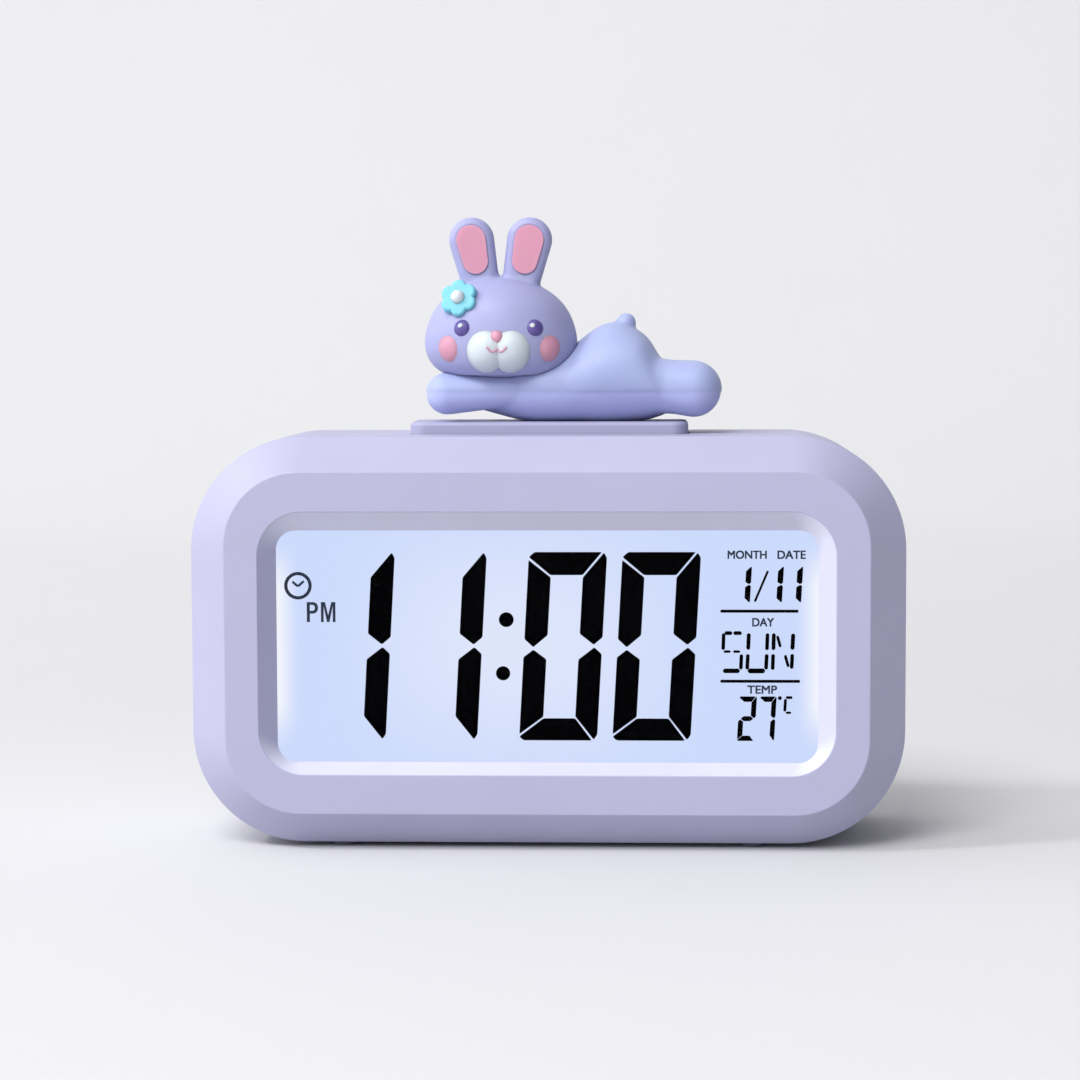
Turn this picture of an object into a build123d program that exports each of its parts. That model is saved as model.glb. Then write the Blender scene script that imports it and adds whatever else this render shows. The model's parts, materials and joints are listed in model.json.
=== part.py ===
from build123d import *
import os
from math import acos, cos, degrees, hypot, pi, radians, sin

# Digital bedside clock: a moulded case with a lit liquid-crystal display, a sprung key across the top
# that carries a small lying rabbit figure, and controls and a battery bay in the back.
# X runs to the right as seen from the front, Y to the back and Z up. The origin lies on the table
# under the middle of the case. Lengths are in millimetres, angles in degrees.

# Case
case_width = 135.0
case_height = 77.2
case_depth = 45.0
case_corner_radius = 21.5
case_wall = 2.0
front_shell_depth = 14.0
rear_edge_radius = 4.0
chamfer_depth = 6.5
chamfer_run_x = 7.1
chamfer_run_z = 6.4
face_corner_radius = 14.0
frame_band_x = 6.25
frame_band_z = 7.4
bevel_corner_radius = 8.5
bevel_depth = 3.7
bevel_run_x = 3.15
bevel_run_top = 3.75
bevel_run_bottom = 1.95
window_land = 0.3
window_corner_radius = 3.7
window_rim_wall = 1.2
outer_edge_radius = 0.4
bevel_edge_radius = 0.2
lip_length = 1.5
lip_width = 0.9
sound_slot_width = 1.2
sound_slot_length = 12.0
sound_slot_pitch = 2.6
sound_slot_count = 5
sound_slot_x = 46.0
sound_slot_rise = -8.0
reset_hole_radius = 0.9
reset_hole_x = -46.0

# Fits that serve every piece
running_clearance = 0.25
seat_clearance = 0.1
cut_overrun = 1.0

# Feet
foot_radius = 2.5
foot_height = 0.9
foot_seat_depth = 0.6
foot_x = 39.0
rear_foot_inset = 8.0

# Case screws and their bosses
case_boss_radius = 3.0
case_boss_rise = 24.0
case_boss_floor = 3.0
boss_gap = 0.4
case_screw_radius = 1.25
case_screw_length = 10.0
case_screw_head_radius = 2.3
case_screw_head_height = 1.6
case_screw_well_radius = 2.6

# Display
lens_thickness = 1.5
lens_lap = 1.8
gasket_thickness = 0.5
gasket_setback = 0.5
gasket_width = 0.9
polariser_thickness = 0.2
polariser_margin = 0.8
glass_thickness = 1.1
glass_margin_x = 3.0
glass_margin_z = 2.05
glass_ledge = 4.0
diffuser_thickness = 0.3
guide_thickness = 3.0
reflector_thickness = 0.25
light_strip_width = 2.2
light_lens_width = 1.0
light_lens_height = 3.0
light_lens_count = 3
holder_wall = 1.5
holder_back = 1.0
holder_ear_x = 38.0
holder_ear_width = 8.0
contact_strip_width = 2.0
contact_strip_length = 74.0
display_boss_radius = 2.4
display_screw_radius = 1.0
display_screw_reach = 5.0
display_screw_head_radius = 2.2
display_screw_head_height = 1.3

# Main board and what sits on it
board_thickness = 1.6
board_margin_x = 4.0
board_margin_z = 2.8
controller_radius = 7.0
controller_height = 1.8
crystal_radius = 1.5
crystal_length = 8.0
capacitor_radius = 3.2
capacitor_height = 7.5
buzzer_radius = 6.0
buzzer_height = 6.5
buzzer_hole_radius = 1.2
thermistor_radius = 1.3
thermistor_length = 3.5

# Key across the top
key_width = 53.5
key_depth = 17.0
key_rise = 2.35
key_y = 3.0
key_corner_radius = 3.0
key_edge_radius = 0.8
key_wall = 1.5
key_flange_width = 1.5
key_flange_thickness = 1.2
key_travel = 1.5
key_post_x = 21.0
key_post_radius = 1.5
key_post_guard = 0.7
key_pad_radius = 3.4
key_plunger_radius = 2.0
return_dome_height = 6.5
return_dome_wall = 0.7
return_dome_foot_radius = 4.4
return_dome_crown_radius = 2.8
key_board_width_y = 10.0
key_board_margin = 3.0
key_boss_radius = 2.4
key_boss_gap = 1.2
small_screw_radius = 0.9
small_screw_length = 5.0
small_screw_head_radius = 2.0
small_screw_head_height = 1.1
lead_radius = 0.55
key_lead_spacing = 2.4
key_lead_bend_radius = 3.5
key_lead_drop = 6.0

# Tactile switches
switch_side = 6.0
switch_height = 3.5
switch_plunger_radius = 1.7
switch_plunger_height = 1.1
switch_spare = 0.2

# Control panel in the back
panel_width = 96.0
panel_height = 13.0
panel_rise = 17.5
panel_recess = 1.2
panel_backing_margin = 2.0
button_radius = 4.0
button_proud = 1.0
button_edge_radius = 0.4
button_travel = 1.0
button_flange_width = 1.0
button_flange_thickness = 1.0
button_stem_radius = 1.6
button_stem_length = 0.8
button_pitch = 17.0
button_first_x = -34.0
button_names = ("mode_button", "set_button", "up_button", "down_button")
slider_x = 33.5
slider_length = 4.0
slider_width = 3.0
slider_proud = 0.9
slider_travel = 3.0
slider_flange_length = 11.0
slider_flange_width = 6.0
slider_flange_thickness = 0.9
slider_hub_side = 4.4
slider_hub_length = 2.7
slider_lever_side = 1.6
slider_lever_depth = 2.2
slider_lever_entry = 1.6
slider_can_length = 9.0
slider_can_width = 4.6
slider_can_gap = 0.4
panel_board_half_height = 6.5
panel_board_end = 3.5
panel_boss_x = 45.5
ribbon_width = 8.0
ribbon_thickness = 0.6
ribbon_x = -26.0
ribbon_sag = 3.0

# Battery bay
cell_radius = 5.25
cell_length = 44.5
cell_nub_radius = 1.9
cell_nub_length = 0.9
cell_edge_radius = 0.5
cell_pitch = 11.0
cell_count = 3
contact_thickness = 0.4
contact_margin = 0.5
contact_tab_width = 2.5
contact_tab_reach = 2.4
cell_spring_length = 4.2
cell_spring_base_radius = 3.4
cell_spring_tip_radius = 2.2
cell_spring_wire_radius = 0.35
cell_spring_turns = 2
bay_spare = 0.7
bay_wall = 1.2
bay_rib_height = 2.4
bay_rib_width = 0.8
bay_rib_length = 30.0
lead_run = 4.0
lead_step = 5.0
lead_bend_radius = 2.0

# Battery door
door_thickness = 1.8
door_overlap = 2.2
door_rise = 6.0
door_corner_radius = 2.0
door_ledge_thickness = 1.5
door_ledge_margin = 1.2
door_hook_x = 15.0
door_hook_width = 6.0
door_hook_depth = 2.0
door_hook_thickness = 1.4
door_hook_drop = 2.4
door_finger_width = 12.0
door_finger_height = 3.0
door_finger_thickness = 1.0
door_finger_radius = 1.0
door_finger_recess = 1.4
door_rib_count = 3
door_rib_pitch = 2.2
door_rib_width = 0.9
door_rib_depth = 0.4
door_rib_length = 12.0

# Figure on the key
figure_left = 23.7
figure_length = 56.8
figure_back_height = 19.0
figure_depth = 21.0
figure_peg_radius = 1.7
figure_peg_x = (5.5, 13.5)
figure_peg_shortfall = 0.2
head_width = 29.4
head_height = 19.6
head_depth = 21.0
head_x = -9.4
head_chin = 8.2
head_forward = 2.5
ear_thickness = 4.6
ear_tip_radius = 4.3
ear_base_radius = 3.4
ear_edge_radius = 1.7
ear_tip_height = 31.0
ear_base_height = 17.0
ear_tip_spread = 5.6
ear_base_spread = 3.6
ear_lining_margin = 1.4
ear_lining_thickness = 0.8
ear_lining_proud = 0.35
ear_lining_base_height = 22.6
muzzle_radius = 3.3
muzzle_proud = 1.3
muzzle_spread = 2.5
eye_radius = 1.6
eye_proud = 0.8
eye_spread = 7.0
cheek_radius = 2.0
cheek_proud = 0.5
cheek_spread = 9.8
nose_radius = 1.3
nose_proud = 0.8
petal_radius = 1.55
petal_count = 6
petal_ring_radius = 2.1
petal_thickness = 1.5
petal_edge_radius = 0.5
flower_middle_radius = 1.35
flower_stand = 0.3
flower_spread = -7.4
foreleg_radius = 4.0
foreleg_root_radius = 3.2
foreleg_length = 13.0
foreleg_spread = 5.4
foreleg_lift = 1.3
hindleg_radius = 5.35
hindleg_root_radius = 3.6
hindleg_length = 17.0
hindleg_spread = 4.9
hindleg_lift = 0.75
tail_radius = 1.75

# Torso sections from chest to rump: place along the figure, underside, back and half depth
torso_shares = (
    (0.150, 0.170, 0.310, 0.070),
    (0.175, 0.120, 0.410, 0.200),
    (0.238, 0.065, 0.520, 0.330),
    (0.325, 0.000, 0.630, 0.410),
    (0.447, -0.030, 0.700, 0.450),
    (0.540, -0.030, 0.860, 0.480),
    (0.660, -0.030, 0.990, 0.500),
    (0.720, -0.010, 0.890, 0.495),
    (0.780, 0.030, 0.670, 0.470),
    (0.835, 0.100, 0.510, 0.390),
    (0.880, 0.200, 0.370, 0.140),
)
# Head sections from chin to crown: shares of the height and of the half width
head_shares = (
    (0.000, 0.42),
    (0.040, 0.68),
    (0.140, 0.90),
    (0.330, 1.00),
    (0.520, 0.965),
    (0.680, 0.870),
    (0.820, 0.700),
    (0.925, 0.460),
    (0.985, 0.200),
    (1.000, 0.060),
)
tail_place_share = 0.677
eye_height_share = 0.50
cheek_height_share = 0.30
muzzle_height_share = 0.27
nose_height_share = 0.42
flower_height_share = 0.77
# Places on the main board, as shares of its half width and half height from its middle
controller_place_shares = (-0.05, 0.10)
crystal_place_shares = (0.34, -0.30)
capacitor_place_shares = (0.62, 0.30)
buzzer_place_shares = (0.55, -0.62)
thermistor_place_shares = (-0.80, -0.72)

# Levels worked out from the sizes above
front_y = -case_depth / 2
rear_y = case_depth / 2
chamfer_y = front_y + chamfer_depth
part_y = front_y + front_shell_depth
rear_inner_y = rear_y - case_wall
case_bottom = foot_height
case_top = case_bottom + case_height
case_mid = case_bottom + case_height / 2
face_width = case_width - 2 * chamfer_run_x
face_height = case_height - 2 * chamfer_run_z
bevel_width = face_width - 2 * frame_band_x
bevel_height = face_height - 2 * frame_band_z
window_width = bevel_width - 2 * bevel_run_x
window_height = bevel_height - bevel_run_top - bevel_run_bottom
window_mid = case_mid + (bevel_run_bottom - bevel_run_top) / 2
glass_width = window_width + 2 * glass_margin_x
glass_height = window_height + 2 * glass_margin_z

lens_front_y = front_y + bevel_depth + window_land
lens_rear_y = lens_front_y + lens_thickness
gasket_rear_y = lens_rear_y + gasket_thickness
glass_front_y = gasket_rear_y + polariser_thickness
glass_mid_y = glass_front_y + glass_thickness
glass_rear_y = glass_mid_y + glass_thickness
diffuser_front_y = glass_rear_y + polariser_thickness
guide_front_y = diffuser_front_y + diffuser_thickness
guide_rear_y = guide_front_y + guide_thickness
reflector_rear_y = guide_rear_y + reflector_thickness
board_front_y = reflector_rear_y + holder_back
board_rear_y = board_front_y + board_thickness

glass_top = window_mid + glass_height / 2
glass_bottom = window_mid - glass_height / 2
ledge_bottom = glass_bottom - glass_ledge
contact_strip_z = glass_bottom - glass_ledge / 2
holder_half_width = glass_width / 2 + seat_clearance + holder_wall
holder_top = glass_top + seat_clearance + holder_wall
holder_bottom = ledge_bottom - seat_clearance - holder_wall
ear_offset = display_boss_radius + boss_gap
ear_places = [(side * holder_ear_x, z) for side in (-1, 1)
              for z in (holder_top + ear_offset, holder_bottom - ear_offset)]
board_half_width = holder_ear_x + board_margin_x
board_top = holder_top + ear_offset + board_margin_z
board_bottom = holder_bottom - ear_offset - board_margin_z
case_boss_x = holder_half_width + boss_gap + case_boss_radius
case_boss_places = [(side * case_boss_x, case_mid + rise * case_boss_rise)
                    for side in (-1, 1) for rise in (-1, 1)]
front_foot_y = (chamfer_y + part_y) / 2
rear_foot_y = rear_y - rear_foot_inset
screw_head_y = part_y + case_boss_floor

key_top = case_top + key_rise
key_plate_z = key_top - key_wall
key_flange_top = case_top - case_wall - seat_clearance
key_flange_bottom = key_flange_top - key_flange_thickness
dome_top = key_flange_bottom
key_board_top = dome_top - return_dome_height
key_board_bottom = key_board_top - board_thickness
key_boss_x = key_width / 2 + key_flange_width + key_boss_gap + key_boss_radius
key_switch_top = key_board_top + switch_height + switch_plunger_height

panel_z = case_mid + panel_rise
panel_floor_y = rear_y - panel_recess
panel_inner_y = panel_floor_y - case_wall
button_flange_y = panel_inner_y - seat_clearance - button_flange_thickness
panel_plunger_y = button_flange_y - button_stem_length - button_travel - switch_spare
panel_board_rear_y = panel_plunger_y - switch_plunger_height - switch_height
panel_board_front_y = panel_board_rear_y - board_thickness
button_places = [button_first_x + i * button_pitch for i in range(len(button_names))]
slider_flange_y = panel_inner_y - seat_clearance - slider_flange_thickness
slider_hub_y = slider_flange_y - slider_hub_length
slider_can_top_y = slider_hub_y - slider_can_gap

bay_width = cell_length + cell_spring_length + 2 * contact_thickness
bay_height = cell_count * cell_pitch
bay_depth = 2 * cell_radius + bay_spare
door_width = bay_width + 2 * door_overlap
door_height = bay_height + 2 * door_overlap
door_bottom = case_bottom + door_rise
door_top = door_bottom + door_height
door_axis_y = rear_y - door_thickness / 2
door_axis_z = door_bottom + door_thickness / 2
door_inner_y = rear_y - door_thickness
door_seat_y = door_inner_y - seat_clearance
bay_floor_y = door_seat_y - bay_depth
bay_bottom = door_bottom + door_overlap
bay_top = door_top - door_overlap
cell_y = bay_floor_y + seat_clearance + cell_radius
cell_levels = [bay_bottom + (i + 0.5) * cell_pitch for i in range(cell_count)]
cell_end_x = bay_width / 2 - contact_thickness
contact_front_y = cell_y - cell_radius
contact_rear_y = cell_y + cell_radius
tab_tip_y = bay_floor_y - bay_wall - contact_tab_reach

figure_y = key_y
head_y = figure_y - head_forward
head_z = key_top + head_chin


def along_x(profile, x_from, x_to):
    """Prism of a profile drawn in Y and Z."""
    return extrude(Plane.YZ.offset(x_from) * profile, amount=x_to - x_from)


def along_y(profile, y_from, y_to):
    """Prism of a profile drawn in X and Z."""
    return extrude(Plane.XZ.offset(-y_to) * profile, amount=y_to - y_from)


def along_z(profile, z_from, z_to):
    """Prism of a profile drawn in X and Y."""
    return extrude(Plane.XY.offset(z_from) * profile, amount=z_to - z_from)


def at_y(profile, y):
    """Profile drawn in X and Z, set at a depth."""
    return (Plane.XZ.offset(-y) * profile).face()


def block(x_span, y_span, z_span):
    """Box between three pairs of limits."""
    spans = (x_span, y_span, z_span)
    middle = [(low + high) / 2 for low, high in spans]
    return Pos(*middle) * Box(*[high - low for low, high in spans])


def both_sides(half):
    """Span from minus half to half."""
    return (-half, half)


def rounded(width, height, radius, x=0, z=0):
    """Rounded rectangle about a middle point."""
    return Pos(x, z) * RectangleRounded(width, height, radius)


def disc(radius, x, z):
    """Round profile about a middle point."""
    return Pos(x, z) * Circle(radius)


def group(solids):
    """Separate solids kept together under one name."""
    return Compound([solid for shape in solids for solid in shape.solids()])


def screw_along_y(x, z, head_y, head_height, head_radius, radius, length):
    """Screw whose head stands behind head_y and whose shank runs towards the front."""
    head = along_y(disc(head_radius, x, z), head_y, head_y + head_height)
    return head + along_y(disc(radius, x, z), head_y - length, head_y)


def wire(points, bend_radius):
    """Round lead along straight runs joined by arcs."""
    path = FilletPolyline(*points, radius=bend_radius)
    start = Plane(origin=path @ 0, z_dir=path % 0)
    return sweep(start * Circle(lead_radius), path=path)


# Case

def case_outline(inset):
    """Outline of the case as seen from the front, drawn in by an inset."""
    width = case_width - 2 * inset
    height = case_height - 2 * inset
    return rounded(width, height, case_corner_radius - inset, 0, case_mid)


def case_ring(outer_inset, inner_inset, y_from, y_to):
    """Band of the case wall between two insets."""
    outer = along_y(case_outline(outer_inset), y_from, y_to)
    return outer - along_y(case_outline(inner_inset), y_from, y_to)


def slanted_wall(run):
    """Width that the wall takes up across the chamfer."""
    return case_wall * hypot(run, chamfer_depth) / chamfer_depth


def chamfer_hollow():
    """Inside of the front frame, one wall behind the chamfer."""
    progress = case_wall / chamfer_depth
    grow_x = chamfer_run_x * progress - slanted_wall(chamfer_run_x)
    grow_z = chamfer_run_z * progress - slanted_wall(chamfer_run_z)
    radius_step = (case_corner_radius - face_corner_radius) * progress
    radius = face_corner_radius + radius_step - slanted_wall(chamfer_run_x)
    inner_face = rounded(face_width + 2 * grow_x, face_height + 2 * grow_z, radius, 0, case_mid)
    overrun_depth = chamfer_depth * (slanted_wall(chamfer_run_x) - case_wall) / chamfer_run_x
    full_y = chamfer_y + overrun_depth
    start = at_y(inner_face, front_y + case_wall)
    hollow = loft([start, at_y(case_outline(case_wall), full_y)], ruled=True)
    return hollow + along_y(case_outline(case_wall), full_y, part_y + cut_overrun)


def window_cut():
    """Bevelled opening for the display."""
    bevel = rounded(bevel_width, bevel_height, bevel_corner_radius, 0, case_mid)
    window = rounded(window_width, window_height, window_corner_radius, 0, window_mid)
    bevel_end_y = front_y + bevel_depth
    funnel = loft([at_y(bevel, front_y), at_y(window, bevel_end_y)], ruled=True)
    return funnel + along_y(window, bevel_end_y, lens_front_y + cut_overrun)


def foot_pockets(y):
    """Seats for a pair of feet in the underside."""
    pair = Sketch() + [Pos(side * foot_x, y) * Circle(foot_radius) for side in (-1, 1)]
    return along_z(pair, case_bottom - cut_overrun, case_bottom + foot_seat_depth)


def front_shell_bosses():
    """Posts for the case screws and for the display screws."""
    floor_y = front_y + case_wall
    posts = Part()
    for x, z in case_boss_places:
        posts += along_y(disc(case_boss_radius, x, z), floor_y, part_y)
    for x, z in ear_places:
        posts += along_y(disc(display_boss_radius, x, z), floor_y, reflector_rear_y)
    return posts


def front_shell_pilots():
    """Screw holes in those posts."""
    holes = Part()
    case_end_y = screw_head_y - case_screw_length - seat_clearance
    for x, z in case_boss_places:
        holes += along_y(disc(case_screw_radius + seat_clearance, x, z), case_end_y, part_y + cut_overrun)
    display_end_y = reflector_rear_y - display_screw_reach - seat_clearance
    for x, z in ear_places:
        pilot = disc(display_screw_radius + seat_clearance, x, z)
        holes += along_y(pilot, display_end_y, reflector_rear_y + cut_overrun)
    return holes


def bevel_edges(shell):
    """Front edges of the bevel, which lie inside the middle of the flat band."""
    half_x = bevel_width / 2 + frame_band_x / 2
    half_z = bevel_height / 2 + frame_band_z / 2
    edges = shell.edges().filter_by_position(Axis.Y, front_y, front_y)
    return edges.filter_by(lambda edge: abs((edge @ 0.5).X) < half_x
                           and abs((edge @ 0.5).Z - case_mid) < half_z)


def make_front_shell():
    face = rounded(face_width, face_height, face_corner_radius, 0, case_mid)
    shell = loft([at_y(face, front_y), at_y(case_outline(0), chamfer_y)], ruled=True)
    shell += along_y(case_outline(0), chamfer_y, part_y)
    outer_edges = shell.edges().filter_by_position(Axis.Y, front_y, front_y)
    outer_edges += shell.edges().filter_by_position(Axis.Y, chamfer_y, chamfer_y)
    shell = fillet(outer_edges, outer_edge_radius)
    rim_width = bevel_width + 2 * window_rim_wall
    rim_height = bevel_height + 2 * window_rim_wall
    rim_radius = bevel_corner_radius + window_rim_wall
    rim = rounded(rim_width, rim_height, rim_radius, 0, case_mid)
    inside = chamfer_hollow()
    shell = shell - inside
    shell += along_y(rim, front_y + case_wall, lens_front_y)
    shell += front_shell_bosses() & inside
    shell -= window_cut()
    shell = fillet(bevel_edges(shell), bevel_edge_radius)
    shell -= front_shell_pilots()
    skin = case_wall - lip_width - seat_clearance
    shell -= case_ring(skin, case_wall, part_y - lip_length - seat_clearance, part_y)
    return shell - foot_pockets(front_foot_y)


def bay_block():
    """Walls round the battery bay, with the ledge that the door lies on."""
    outside_x = both_sides(bay_width / 2 + bay_wall)
    outside_z = (bay_bottom - bay_wall, bay_top + bay_wall)
    walls = block(outside_x, (bay_floor_y - bay_wall, rear_inner_y), outside_z)
    ledge_x = both_sides(door_width / 2 + door_ledge_margin)
    ledge_z = (door_bottom - door_ledge_margin, door_top + door_ledge_margin)
    return walls + block(ledge_x, (door_seat_y - door_ledge_thickness, rear_inner_y), ledge_z)


def bay_cut():
    """Battery bay, door recess, finger notch and hook slots."""
    out_y = rear_y + cut_overrun
    gap = running_clearance
    cut = block(both_sides(bay_width / 2), (bay_floor_y, out_y), (bay_bottom, bay_top))
    recess_z = (door_bottom - gap, door_top + gap)
    cut += block(both_sides(door_width / 2 + gap), (door_seat_y, out_y), recess_z)
    notch = rounded(door_finger_width + 2 * gap, 2 * (door_finger_height + gap), door_finger_radius,
                    0, door_top)
    cut += along_y(notch, rear_y - door_finger_recess, out_y)
    hook_deep = door_axis_y - door_inner_y + door_hook_depth
    sweep_radius = hypot(hook_deep, door_hook_drop) + gap
    slot_top = door_axis_z + sweep_radius
    for side in (-1, 1):
        middle = side * door_hook_x
        slot_x = (middle - door_hook_width / 2 - gap, middle + door_hook_width / 2 + gap)
        slot_start = door_axis_y - sweep_radius
        cut += block(slot_x, (slot_start, rear_inner_y), (door_axis_z - door_hook_drop - gap, slot_top))
        cut += block(slot_x, (slot_start, out_y), (door_bottom - gap, slot_top))
    return cut


def bay_ribs():
    """Low ribs between the cells."""
    ribs = Part()
    for level in cell_levels[1:]:
        z_mid = level - cell_pitch / 2
        rib_z = (z_mid - bay_rib_width / 2, z_mid + bay_rib_width / 2)
        ribs += block(both_sides(bay_rib_length / 2), (bay_floor_y, bay_floor_y + bay_rib_height), rib_z)
    return ribs


def contact_slots():
    """Slots in the bay floor for the two contact tabs that take the leads."""
    slots = Part()
    for side, level in lead_contacts():
        x_mid = side * (bay_width / 2 - contact_thickness / 2)
        x_half = contact_thickness / 2 + seat_clearance
        z_half = contact_tab_width / 2 + seat_clearance
        floor = (bay_floor_y - bay_wall - cut_overrun, bay_floor_y + cut_overrun)
        slots += block((x_mid - x_half, x_mid + x_half), floor, (level - z_half, level + z_half))
    return slots


def lead_contacts():
    """Side and level of the first positive and the last negative contact."""
    last_side = 1 if cell_count % 2 else -1
    return [(-1, cell_levels[0]), (last_side, cell_levels[-1])]


def panel_openings():
    """Recess of the control panel with its button and slider openings."""
    recess = Pos(0, panel_z) * SlotOverall(panel_width, panel_height)
    cut = along_y(recess, panel_floor_y, rear_y + cut_overrun)
    through = (panel_inner_y - cut_overrun, rear_y)
    for x in button_places:
        cut += along_y(disc(button_radius + running_clearance, x, panel_z), *through)
    slot_x = (slider_x - slider_length / 2 - running_clearance,
              slider_x + slider_length / 2 + slider_travel + running_clearance)
    half = slider_width / 2 + running_clearance
    return cut + block(slot_x, through, (panel_z - half, panel_z + half))


def key_opening():
    """Opening in the top for the key."""
    gap = running_clearance
    outline = Pos(0, key_y) * RectangleRounded(key_width + 2 * gap, key_depth + 2 * gap,
                                               key_corner_radius + gap)
    return along_z(outline, case_top - case_wall - cut_overrun, case_top + cut_overrun)


def sound_slots():
    """Row of upright slots in front of the buzzer side, and the reset hole on the other side."""
    slots = Sketch()
    first = sound_slot_x - (sound_slot_count - 1) / 2 * sound_slot_pitch
    level = case_mid + sound_slot_rise
    for i in range(sound_slot_count):
        place = Pos(first + i * sound_slot_pitch, level)
        slots += place * SlotOverall(sound_slot_length, sound_slot_width, rotation=90)
    slots += disc(reset_hole_radius, reset_hole_x, level)
    return along_y(slots, rear_inner_y - cut_overrun, rear_y + cut_overrun)


def rear_shell_bosses():
    """Posts for the case screws, the panel board and the key board."""
    posts = Part()
    for x, z in case_boss_places:
        posts += along_y(disc(case_boss_radius + boss_gap, x, z), part_y, rear_inner_y)
    for side in (-1, 1):
        posts += along_y(disc(display_boss_radius, side * panel_boss_x, panel_z),
                         panel_board_rear_y, rear_inner_y)
        post = Pos(side * key_boss_x, key_y) * Circle(key_boss_radius)
        posts += along_z(post, key_board_top, case_top - case_wall)
    return posts


def rear_shell_holes():
    """Screw wells and pilots in those posts."""
    holes = Part()
    for x, z in case_boss_places:
        holes += along_y(disc(case_screw_well_radius, x, z), screw_head_y, rear_y + cut_overrun)
        holes += along_y(disc(case_screw_radius + seat_clearance, x, z),
                         part_y - cut_overrun, screw_head_y + cut_overrun)
    pilot_radius = small_screw_radius + seat_clearance
    reach = small_screw_length - board_thickness + seat_clearance
    for side in (-1, 1):
        holes += along_y(disc(pilot_radius, side * panel_boss_x, panel_z),
                         panel_board_rear_y - cut_overrun, panel_board_rear_y + reach)
        pilot = Pos(side * key_boss_x, key_y) * Circle(pilot_radius)
        holes += along_z(pilot, key_board_top - cut_overrun, key_board_top + reach)
    return holes


def make_rear_shell():
    shell = along_y(case_outline(0), part_y, rear_y)
    shell = fillet(shell.edges().filter_by_position(Axis.Y, rear_y, rear_y), rear_edge_radius)
    inside = along_y(case_outline(case_wall), part_y, rear_inner_y)
    inner_edges = inside.edges().filter_by_position(Axis.Y, rear_inner_y, rear_inner_y)
    inside = fillet(inner_edges, rear_edge_radius - case_wall)
    shell = shell - inside
    backing = Pos(0, panel_z) * SlotOverall(panel_width + 2 * panel_backing_margin,
                                            panel_height + 2 * panel_backing_margin)
    shell += along_y(backing, panel_inner_y, rear_inner_y)
    shell += bay_block() & inside
    shell += rear_shell_bosses() & inside
    shell += case_ring(case_wall - lip_width, case_wall, part_y - lip_length, part_y + lip_length)
    shell = shell - bay_cut() - panel_openings() - key_opening() - sound_slots() - rear_shell_holes()
    shell += bay_ribs()
    return shell - contact_slots() - foot_pockets(rear_foot_y)


def make_feet():
    feet = []
    for y in (front_foot_y, rear_foot_y):
        for side in (-1, 1):
            feet.append(along_z(Pos(side * foot_x, y) * Circle(foot_radius), 0,
                                case_bottom + foot_seat_depth))
    return group(feet)


def make_case_screws():
    return group([screw_along_y(x, z, screw_head_y, case_screw_head_height, case_screw_head_radius,
                                case_screw_radius, case_screw_length) for x, z in case_boss_places])


# Display

def make_display_lens():
    outline = rounded(window_width + 2 * lens_lap, window_height + 2 * lens_lap,
                      window_corner_radius, 0, window_mid)
    return along_y(outline, lens_front_y, lens_rear_y)


def make_lens_gasket():
    inner = rounded(window_width + 2 * gasket_setback, window_height + 2 * gasket_setback,
                    window_corner_radius + gasket_setback, 0, window_mid)
    reach = gasket_setback + gasket_width
    outer = rounded(window_width + 2 * reach, window_height + 2 * reach,
                    window_corner_radius + reach, 0, window_mid)
    return along_y(outer - inner, lens_rear_y, gasket_rear_y)


def make_polariser(y_from):
    half = glass_width / 2 - polariser_margin
    span_z = (glass_bottom + polariser_margin, glass_top - polariser_margin)
    return block(both_sides(half), (y_from, y_from + polariser_thickness), span_z)


def make_lcd_glass():
    half = both_sides(glass_width / 2)
    front = block(half, (glass_front_y, glass_mid_y), (ledge_bottom, glass_top))
    return front + block(half, (glass_mid_y, glass_rear_y), (glass_bottom, glass_top))


def guide_half_width():
    return glass_width / 2 - light_strip_width


def make_diffuser_film():
    return block(both_sides(glass_width / 2), (diffuser_front_y, guide_front_y), (glass_bottom, glass_top))


def make_light_guide():
    return block(both_sides(guide_half_width()), (guide_front_y, guide_rear_y), (glass_bottom, glass_top))


def make_reflector_film():
    return block(both_sides(glass_width / 2), (guide_rear_y, reflector_rear_y), (glass_bottom, glass_top))


def make_light_strips():
    strips = []
    start = guide_half_width() + light_lens_width
    depth = (guide_front_y, guide_rear_y)
    pitch = glass_height / light_lens_count
    for side in (-1, 1):
        ends = sorted((side * start, side * glass_width / 2))
        strip = block(ends, depth, (glass_bottom, glass_top))
        lens_ends = sorted((side * guide_half_width(), side * start))
        for i in range(light_lens_count):
            level = glass_bottom + (i + 0.5) * pitch
            strip += block(lens_ends, depth, (level - light_lens_height / 2, level + light_lens_height / 2))
        strips.append(strip)
    return group(strips)


def make_display_holder():
    room = seat_clearance
    inside_x = both_sides(glass_width / 2 + room)
    holder = block(both_sides(holder_half_width), (gasket_rear_y, board_front_y),
                   (holder_bottom, holder_top))
    for x, z in ear_places:
        edge = holder_top if z > window_mid else holder_bottom
        reach = display_boss_radius if z > window_mid else -display_boss_radius
        ear_z = sorted((edge - reach, z + reach))
        half = holder_ear_width / 2
        holder += block((x - half, x + half), (reflector_rear_y, board_front_y), ear_z)
    front_pocket = (ledge_bottom - room, glass_top + room)
    holder -= block(inside_x, (gasket_rear_y - cut_overrun, glass_mid_y), front_pocket)
    holder -= block(inside_x, (glass_front_y, reflector_rear_y), (glass_bottom - room, glass_top + room))
    half_strip = contact_strip_width / 2 + room
    strip_x = both_sides(contact_strip_length / 2 + room)
    holder -= block(strip_x, (glass_front_y, board_front_y + cut_overrun),
                    (contact_strip_z - half_strip, contact_strip_z + half_strip))
    for x, z in ear_places:
        hole = disc(display_screw_radius + room, x, z)
        holder -= along_y(hole, reflector_rear_y - cut_overrun, board_front_y + cut_overrun)
    return holder


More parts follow.
